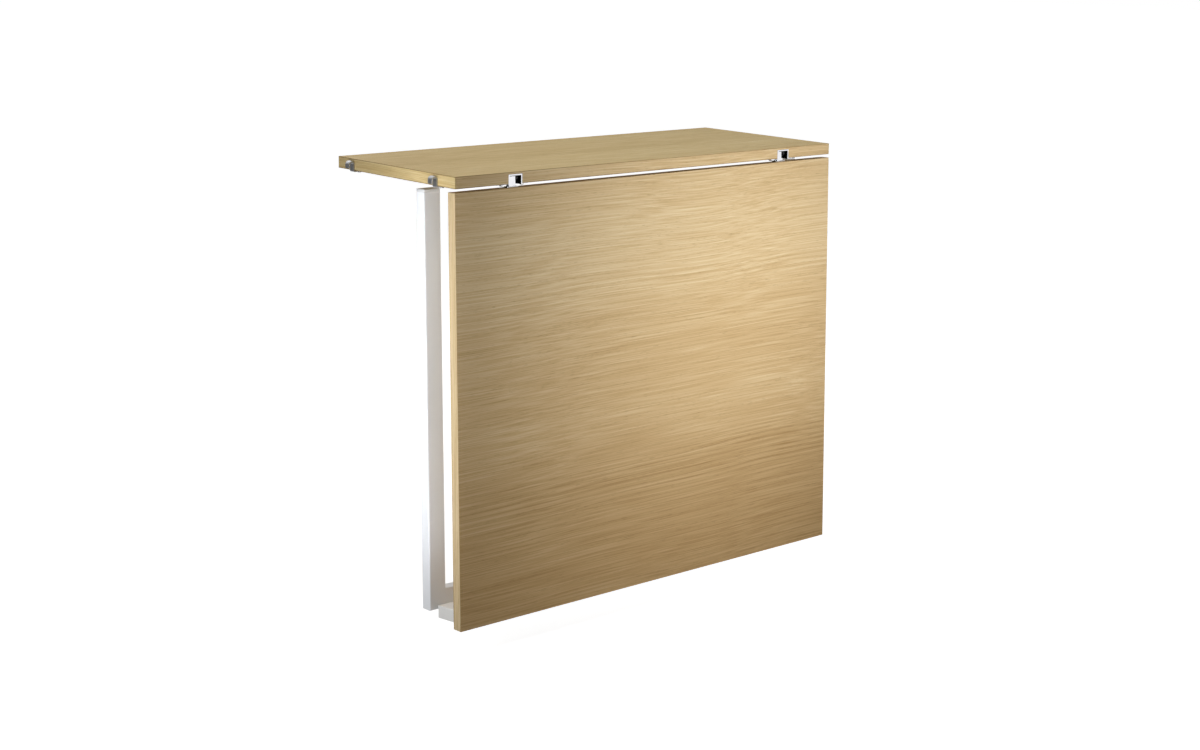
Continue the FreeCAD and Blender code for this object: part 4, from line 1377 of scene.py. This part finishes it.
@dataclass
class LegRail:
    """The white rail beneath the leaf's free edge, with its screw bores and hinge recesses."""

    layout: Layout
    finishes: Finishes
    fit: LegHingeFit
    taper: float = 7.5 * MM
    corner: float = 0.9 * MM
    bore_inset: float = 50.0 * MM
    bore_middle: float = 100.0 * MM
    bore_radius: float = 5.2 * MM
    bore_depth: float = 24.0 * MM
    plate_width: float = 56.4 * MM
    plate_depth: float = 16.9 * MM
    plate_inset: float = 1.8 * MM

    def make(self) -> None:
        """Shapes the rail, eases its edges and cuts its bores and recesses."""
        block = self.layout.block("leg_rail")
        low, high = block.low, block.high
        below = low.z - self.corner
        outline = [
            Vector((low.x, low.y, low.z)),
            Vector((high.x, low.y, low.z)),
            Vector((high.x - self.taper, low.y, high.z)),
            Vector((low.x + self.taper, low.y, high.z)),
        ]
        piece = Workpiece("leg_rail_lacquered").prism(outline, Vector((0.0, block.size.y, 0.0)))
        piece.ease(self.corner, Rounding.SMOOTH)
        for across in (
            low.x + self.bore_inset, -self.bore_middle, self.bore_middle, high.x - self.bore_inset,
        ):
            mouth = Vector((across, block.centre.y, below))
            bottom = Vector((across, block.centre.y, low.z + self.bore_depth))
            bore = Workpiece("bore").rod(mouth, bottom, self.bore_radius)
            piece.combine(bore, Joining.CUT)
        for across in self.fit.places:
            near = Vector((across - self.plate_width / 2, low.y + self.plate_inset, below))
            size = Vector((self.plate_width, self.plate_depth, self.corner + self.fit.thickness))
            piece.combine(Workpiece("recess").slab(Block(near, near + size)), Joining.CUT)
        piece.set_down(self.layout, self.finishes.plain[SlotName.LACQUER], ["leg_rail"])


@dataclass
class LegHingePlate:
    """A leg hinge's plate, let into the rail, with its neck and knuckle."""

    side: Side
    layout: Layout
    finishes: Finishes
    fit: LegHingeFit
    width: float = 56.0 * MM
    depth: float = 16.5 * MM
    corner: float = 0.8 * MM
    burr: float = 0.2 * MM
    burr_turn: float = 60.0
    axis_back: float = 14.5 * MM
    axis_drop: float = 4.5 * MM
    knuckle_radius: float = 3.0 * MM
    knuckle_length: float = 16.0 * MM
    neck: float = 4.4 * MM
    bore: float = 1.3 * MM
    screw_inset: float = 9.0 * MM

    def make(self) -> None:
        """Makes the plate."""
        node = f"{self.side.word}_leg_hinge_plate"
        block = self.layout.block(node)
        top = block.high.z
        face = top - self.fit.thickness
        centre = block.centre.x
        front = block.low.y
        left, right = centre - self.width / 2, centre + self.width / 2
        piece = Workpiece(f"{node}_steel").slab(Block.spanning(
            (left, right), (front, front + self.depth), (face, top)
        ))
        upright = self.fit.thickness / 2
        piece.ease(self.corner, Rounding.SMOOTH, lambda edge: span_of(edge, Axis.Z) > upright)
        pin = Vector((centre, front + self.axis_back, face - self.axis_drop))
        half = self.knuckle_length / 2
        web = Block.spanning(
            (centre - half, centre + half),
            (pin.y - self.neck / 2, pin.y + self.neck / 2),
            (pin.z, top),
        )
        piece.combine(Workpiece("web").slab(web), Joining.WELD)
        for name, reach, radius, joining in (
            ("knuckle", half, self.knuckle_radius, Joining.WELD),
            ("hole", self.width, self.bore, Joining.CUT),
        ):
            start, end = (Vector((centre + out, pin.y, pin.z)) for out in (-reach, reach))
            piece.combine(Workpiece(name).rod(start, end, radius), joining)
        for across in (left + self.screw_inset, right - self.screw_inset):
            self.fit.drill(piece, Vector((across, front + self.depth / 2, face)))
        piece.ease(self.burr, Rounding.CHAMFER, sharpest=self.burr_turn)
        piece.set_down(self.layout, self.finishes.plain[SlotName.STEEL], [node])


@dataclass
class LegFrame:
    """The welded leg frame: two legs and a cross bar of rectangular tube, with foot caps."""

    layout: Layout
    finishes: Finishes
    fit: LegHingeFit
    wall: float = 1.5 * MM
    corner: float = 2.0 * MM
    inner_corner: float = 0.5 * MM
    weld: float = 0.5 * MM
    weld_turn: float = 60.0
    notch: float = 7.0 * MM
    notch_length: float = 17.0 * MM
    screw_reach: float = 16.0 * MM
    cap_round: float = 1.7 * MM
    cap_seam: float = 0.4 * MM
    plug_inset: float = 1.7 * MM
    plug: float = 15.0 * MM

    def make(self) -> None:
        """Makes the frame and both caps."""
        self._frame()
        for side in Side:
            self._cap(side)

    def _frame(self) -> None:
        """Welds the three tubes into one and cuts the notches for the hinges."""
        cross = self.layout.block("cross_tube")
        frame = self._hoop("leg_frame_enamelled", 0.0, self.corner)
        hollow = self._hoop("hollow", self.wall, self.inner_corner)
        frame.combine(hollow, Joining.CUT)
        for across in self.fit.places:
            notch = Block.spanning(
                (across - self.notch_length / 2, across + self.notch_length / 2),
                (cross.low.y - self.notch, cross.low.y + self.notch),
                (cross.high.z - self.notch, cross.high.z + self.notch),
            )
            frame.combine(Workpiece("notch").slab(notch), Joining.CUT)
            for reach in (-self.screw_reach, self.screw_reach):
                self.fit.drill(frame, Vector((across + reach, cross.centre.y, cross.low.z)))
        frame.ease(
            self.weld,
            chosen=lambda edge: self._is_weld_corner(edge, cross),
            sharpest=self.weld_turn,
        )
        tubes = ["left_leg_tube", "right_leg_tube", "cross_tube"]
        frame.set_down(self.layout, self.finishes.plain[SlotName.ENAMEL], tubes)

    @staticmethod
    def _is_weld_corner(edge: Edge, cross: Block) -> bool:
        """Whether an edge stands upright at one of the cross tube's two outer corners."""
        at_end = any(lies_at(edge, Axis.X, end) for end in cross.reach(Axis.X))
        return at_end and lies_at(edge, Axis.Y, cross.low.y)

    def _hoop(self, name: str, inset: float, corner: float) -> Workpiece:
        """The frame's U shape as a solid, with mitred corners.

        Args:
            name: The workpiece's name.
            inset: How far each face lies inside the tube's outside.
            corner: The radius of its long edges.

        Returns:
            The hoop.
        """
        hoop = Workpiece(name)
        cross = self.layout.block("cross_tube").narrowed(inset)
        left = self.layout.block("left_leg_tube")
        width = left.size.x - 2 * inset
        bar = self._bar(cross, corner, Axis.X)
        legs = []
        for side, outside in zip(Side, cross.reach(Axis.X)):
            mitre = Vector((outside, cross.low.y, cross.low.z))
            across_bar = Vector((side.value, 1.0, 0.0))
            bar.slice(mitre, across_bar)
            inside = outside - side.value * width
            space = Block.spanning(
                (min(outside, inside), max(outside, inside)),
                (cross.low.y, left.high.y + inset),
                cross.reach(Axis.Z),
            )
            leg = self._bar(space, corner, Axis.Y)
            leg.slice(mitre, -across_bar)
            legs.append(leg)
        for part in (bar, *legs):
            hoop.join(part)
        hoop.settle()
        return hoop

    @staticmethod
    def _bar(block: Block, corner: float, axis: Axis) -> Workpiece:
        """A bar with rounded long edges.

        Args:
            block: The space that it fills.
            corner: The radius of its long edges.
            axis: The axis that it runs along.

        Returns:
            The bar.
        """
        bar = Workpiece("bar").slab(block)
        bar.ease(corner, Rounding.ROUND, lambda edge: span_of(edge, axis) > MM)
        return bar

    def _cap(self, side: Side) -> None:
        """A foot cap, rounded at its end and with a fine seam at the tube.

        Args:
            side: The leg that it closes.
        """
        node = f"{side.word}_foot_cap"
        tube = self.layout.block(f"{side.word}_leg_tube")
        end = self.layout.block(node).high.y
        head = Block.spanning(tube.reach(Axis.X), (tube.high.y, end), tube.reach(Axis.Z))
        piece = Workpiece(f"{node}_moulded").slab(head)
        piece.ease(self.corner, Rounding.ROUND, lambda edge: span_of(edge, Axis.Y) > MM)
        for radius, rounding, level in (
            (self.cap_round, Rounding.ROUND, head.high.y),
            (self.cap_seam, Rounding.CHAMFER, head.low.y),
        ):
            piece.ease(radius, rounding, lambda edge, level=level: lies_at(edge, Axis.Y, level))
        plug = Block.spanning(
            (head.low.x + self.plug_inset, head.high.x - self.plug_inset),
            (head.low.y - self.plug, head.low.y + MM),
            (head.low.z + self.plug_inset, head.high.z - self.plug_inset),
        )
        piece.combine(Workpiece("plug").slab(plug), Joining.WELD)
        piece.set_down(self.layout, self.finishes.plain[SlotName.PLASTIC], [node])


# ---------------------------------------------------------------- studio


@dataclass(frozen=True)
class Viewpoint:
    """The camera's place, aim and lens."""

    place: Vector = Vector((-2112.6, -2613.1, 385.8)) * MM
    yaw: float = 40.84
    pitch: float = 10.308
    roll: float = 0.911
    focal_pixels: float = 2026.3
    frame_width: float = 1200.0
    frame_height: float = 750.0
    axis_row: float = 280.0
    film: float = 36.0
    sight: float = 50.0

    def set_up(self) -> None:
        """Makes the camera and puts it in charge."""
        data = bpy.data.cameras.new("camera")
        data.sensor_width = self.film
        data.lens = self.focal_pixels / self.frame_width * self.film
        data.shift_y = (self.axis_row - self.frame_height / 2) / self.frame_width
        data.clip_end = self.sight
        camera = bpy.data.objects.new("camera", data)
        bpy.context.scene.collection.objects.link(camera)
        aim = Matrix.Translation(self.place)
        for angle, axis in ((-self.yaw, "Z"), (RIGHT_ANGLE - self.pitch, "X"), (self.roll, "Z")):
            aim = aim @ Matrix.Rotation(math.radians(angle), MATRIX_SIDE, axis)
        camera.matrix_world = aim
        bpy.context.scene.camera = camera


@dataclass(frozen=True)
class Lamp:
    """A soft flat lamp: its width, and its height where that differs."""

    name: str
    place: Vector
    target: Vector
    side: float
    power: float
    height: float = 0.0
    spread: float = 180.0

    def set_up(self) -> None:
        """Hangs the lamp and points it at its target."""
        data = bpy.data.lights.new(self.name, "AREA")
        data.shape = "RECTANGLE"
        data.size = self.side
        data.size_y = self.height or self.side
        data.spread = math.radians(self.spread)
        self._hang(data)

    def _hang(self, data: bpy.types.Light) -> None:
        """Gives a light its power and its place, out of the camera's sight.

        Args:
            data: The light.
        """
        data.energy = self.power
        lamp = bpy.data.objects.new(self.name, data)
        bpy.context.scene.collection.objects.link(lamp)
        lamp.visible_camera = False
        lamp.location = self.place
        lamp.rotation_euler = (self.target - self.place).to_track_quat("-Z", "Y").to_euler()


@dataclass(frozen=True)
class BeamLamp(Lamp):
    """A lamp with a beam that fades from its middle outwards."""

    beam: float = 41.0

    def set_up(self) -> None:
        """Hangs the lamp and points it at its target."""
        data = bpy.data.lights.new(self.name, "SPOT")
        data.spot_size = math.radians(self.beam)
        data.spot_blend = 1.0
        data.shadow_soft_size = self.side
        self._hang(data)


@dataclass(frozen=True)
class Studio:
    """The white studio: floor, sky and lamps."""

    floor_height: float = -0.7095
    floor_side: float = 40.0
    floor_tone: float = 0.5
    floor_glow: Ramp = Ramp(0.9, 3.5, 0.85, 0.94)
    floor_mirrored: Ramp = Ramp(-1.4, 1.0, 0.05)
    sky: float = 0.14
    dark_side: Vector = Vector((-1.0, 0.0, 0.0))
    sky_mirrored: Ramp = Ramp(0.2, 0.8, 1.0, 0.08)
    lamps: Sequence[Lamp] = (
        BeamLamp(
            "key", Vector((0.5, -2.0, 0.12)), Vector((0.17, -0.3, -0.17)), side=0.3, power=125.0,
        ),
        Lamp(
            "left", Vector((-0.75, -0.27, -0.25)), Vector((-0.39, -0.27, -0.25)),
            side=0.06, power=1.55, height=0.62,
        ),
        Lamp(
            "leg", Vector((-0.745, -0.595, -0.28)), Vector((-0.392, -0.222, -0.28)),
            side=0.05, power=0.085, height=0.61, spread=18.0,
        ),
        Lamp("top", Vector((-0.55, -0.35, 1.7)), Vector((-0.1, -0.15, 0.0)), side=0.9, power=14.0),
        Lamp("right", Vector((2.2, -0.1, 0.3)), Vector((0.39, -0.2, -0.2)), side=1.0, power=12.0),
        Lamp("back", Vector((0.3, 2.4, 0.5)), Vector((0.0, 0.0, -0.3)), side=1.2, power=22.0),
    )

    def set_up(self) -> None:
        """Makes the floor, the sky and the lamps."""
        self._floor()
        self._sky()
        for lamp in self.lamps:
            lamp.set_up()
        bpy.context.scene.view_settings.view_transform = "Standard"

    def _floor(self) -> None:
        """A wide pale floor that takes the table's shadow."""
        bench = Workpiece("floor")
        bmesh.ops.create_grid(bench.mesh, x_segments=1, y_segments=1, size=self.floor_side / 2)
        height = Vector((0.0, 0.0, self.floor_height))
        bmesh.ops.translate(bench.mesh, vec=height, verts=bench.mesh.verts)
        floor = bpy.data.objects.new("floor", bench.lift_off())
        bpy.context.scene.collection.objects.link(floor)
        floor.data.materials.append(self._floor_paint())

    def _floor_paint(self) -> bpy.types.Material:
        """A matt paint that the camera sees as near white, darker in mirrors towards the left.

        Returns:
            The material.
        """
        recipe = Recipe("floor_paint")
        rays = recipe.node("LightPath").outputs
        place = recipe.node("TexCoord").outputs["Object"]
        reach = recipe.node("VectorMath", {0: place}, operation="LENGTH").outputs["Value"]
        along = recipe.node("SeparateXYZ", {0: place}).outputs["X"]
        seen = recipe.work_out(Sum.LARGER, rays["Is Camera Ray"], rays["Is Transmission Ray"])
        seen = recipe.work_out(Sum.MULTIPLY, seen, recipe.spread(reach, self.floor_glow))
        mirrored = recipe.spread(along, self.floor_mirrored)
        mirrored = recipe.work_out(Sum.MULTIPLY, rays["Is Glossy Ray"], mirrored)
        recipe.shade(
            Base_Color=(self.floor_tone, self.floor_tone, self.floor_tone, 1.0), Roughness=1.0,
            Specular_IOR_Level=0.0, Emission_Color=WHITE,
            Emission_Strength=recipe.work_out(Sum.ADD, seen, mirrored),
        )
        return recipe.material

    def _sky(self) -> None:
        """A sky that looks white and lights the table softly, with a darker side for the metal."""
        world = bpy.data.worlds.new("studio_sky")
        world.use_nodes = True
        bpy.context.scene.world = world
        bench = NodeBench(world.node_tree)
        rays = bench.node("LightPath").outputs
        seen = bench.work_out(Sum.LARGER, rays["Is Camera Ray"], rays["Is Transmission Ray"])
        towards = bench.node("TexCoord").outputs["Generated"]
        facing = bench.node("VectorMath", {0: towards, 1: self.dark_side}, operation="DOT_PRODUCT")
        mirrored = bench.spread(facing.outputs["Value"], self.sky_mirrored, Easing.GENTLE)
        strength = bench.choose(rays["Is Glossy Ray"], self.sky, mirrored)
        strength = bench.choose(seen, strength, 1.0)
        light = bench.node("Background", {"Color": WHITE, "Strength": strength})
        bench.node("OutputWorld", {"Surface": light.outputs["Background"]})


# ---------------------------------------------------------------- the table


@dataclass
class DropLeafTable:
    """The whole table, dressed a sub-assembly at a time."""

    frame: dict
    finishes: Finishes
    fit: LegHingeFit = LegHingeFit()
    hinge_inset: float = 110.0 * MM
    ear_reach: float = 19.3 * MM
    ear_screws: Sequence[float] = (9.5 * MM, 20.5 * MM)
    hook_screws: Sequence[float] = (12.0 * MM, 24.0 * MM)
    hook_lines: Sequence[float] = (47.0 * MM, 260.5 * MM)
    arm_screws: Sequence[float] = (14.0 * MM, 32.0 * MM)
    shelf: Layout = field(init=False)
    leaf: Layout = field(init=False)
    legs: Layout = field(init=False)

    def __post_init__(self) -> None:
        """Works out the three layouts from the leaf's hinge."""
        hinge = next(joint for joint in self.frame["joints"] if joint["name"] == "leaf_hinge")
        pin = Matrix.Translation(Vector(hinge["pos_m"]))
        hanging = -math.radians(hinge["range_deg"][1])
        lower = Matrix.Rotation(hanging, MATRIX_SIDE, Vector(hinge["axis"]))
        swing = pin @ lower @ pin.inverted()
        self.shelf = Layout(BodyName.SHELF, Matrix.Identity(MATRIX_SIDE))
        self.leaf = Layout(BodyName.LEAF, swing)
        self.legs = Layout(BodyName.LEGS, swing)

    def dress_nodes(self) -> None:
        """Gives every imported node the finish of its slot."""
        slots = {part["node"]: part["material_slot"] for part in self.frame["record"]["subparts"]}
        plain_oak = self.finishes.oak(Grain.ALONG_X, Log.LEAF)
        for name, node in self.frame["nodes"].items():
            finish = self.finishes.plain.get(SlotName(slots[name]), plain_oak)
            node.data.materials.clear()
            node.data.materials.append(finish.material)

    def make(self) -> None:
        """Makes every new piece."""
        hinges = [LeafHinge(side, self.shelf, self.leaf, self.finishes) for side in Side]
        Board(
            self.shelf, self.finishes, "shelf_top_veneer", "shelf_bottom_veneer", Log.SHELF,
            {
                "shelf_front_band": (Grain.ALONG_X, Log.LEAF),
                "shelf_rear_band": (Grain.ALONG_X, Log.SHELF),
                "shelf_left_band": (Grain.ALONG_Y, Log.SHELF),
                "shelf_right_band": (Grain.ALONG_Y, Log.SHELF),
            },
            [hinge.pocket for hinge in hinges],
        ).make()
        Board(
            self.leaf, self.finishes, "leaf_outer_veneer", "leaf_inner_veneer", Log.LEAF,
            {
                "leaf_free_edge_band": (Grain.ALONG_X, Log.LEAF),
                "leaf_left_band": (Grain.ALONG_Z, Log.EDGE),
                "leaf_right_band": (Grain.ALONG_Z, Log.EDGE),
            },
        ).make()
        for hinge in hinges:
            hinge.make()
        for row in ("front", "rear"):
            for side in Side:
                RungHook(f"{row}_{side.word}_hook", side, self.shelf, self.finishes).make()
        for group in self._screw_groups():
            group.make()
        LegRail(self.leaf, self.finishes, self.fit).make()
        for side in Side:
            LegHingePlate(side, self.leaf, self.finishes, self.fit).make()
        LegFrame(self.legs, self.finishes, self.fit).make()

    def _screw_groups(self) -> list[PanScrews]:
        """The groups of domed screws.

        Returns:
            The hooks', the hinge housings' and the hinge arms' screws.
        """
        top = self.shelf.block("shelf_top_veneer")
        end, front = top.high.x, top.low.y
        under = self.shelf.block("shelf_bottom_veneer").low.z
        leaf_edge = self.leaf.block("leaf_hinge_edge_band").high.y
        hooks, ears, arms = [], [], []
        for side in Side:
            for along in self.hook_lines:
                for inset in self.hook_screws:
                    across = side.value * (end - inset)
                    hooks.append(Vector((across, front + along, under - RungHook.strap)))
            centre = side.value * (end - self.hinge_inset)
            for reach in (-self.ear_reach, self.ear_reach):
                for along in self.ear_screws:
                    bearing = under - LeafHinge.ear_thickness
                    ears.append(Vector((centre + reach, front + along, bearing)))
            for along in self.arm_screws:
                arms.append(Vector((centre, leaf_edge - along, under)))
        return [
            PanScrews("hook_screws", self.shelf, self.finishes, hooks),
            PanScrews("housing_screws", self.shelf, self.finishes, ears),
            PanScrews("arm_screws", self.leaf, self.finishes, arms),
        ]


def main() -> None:
    """Loads the table, dresses it and lights it."""
    logging.basicConfig(level=logging.INFO, format="%(name)s: %(message)s")
    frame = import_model()
    table = DropLeafTable(frame, Finishes())
    table.dress_nodes()
    table.make()
    Studio().set_up()
    Viewpoint().set_up()


if __name__ == "__main__":
    main()
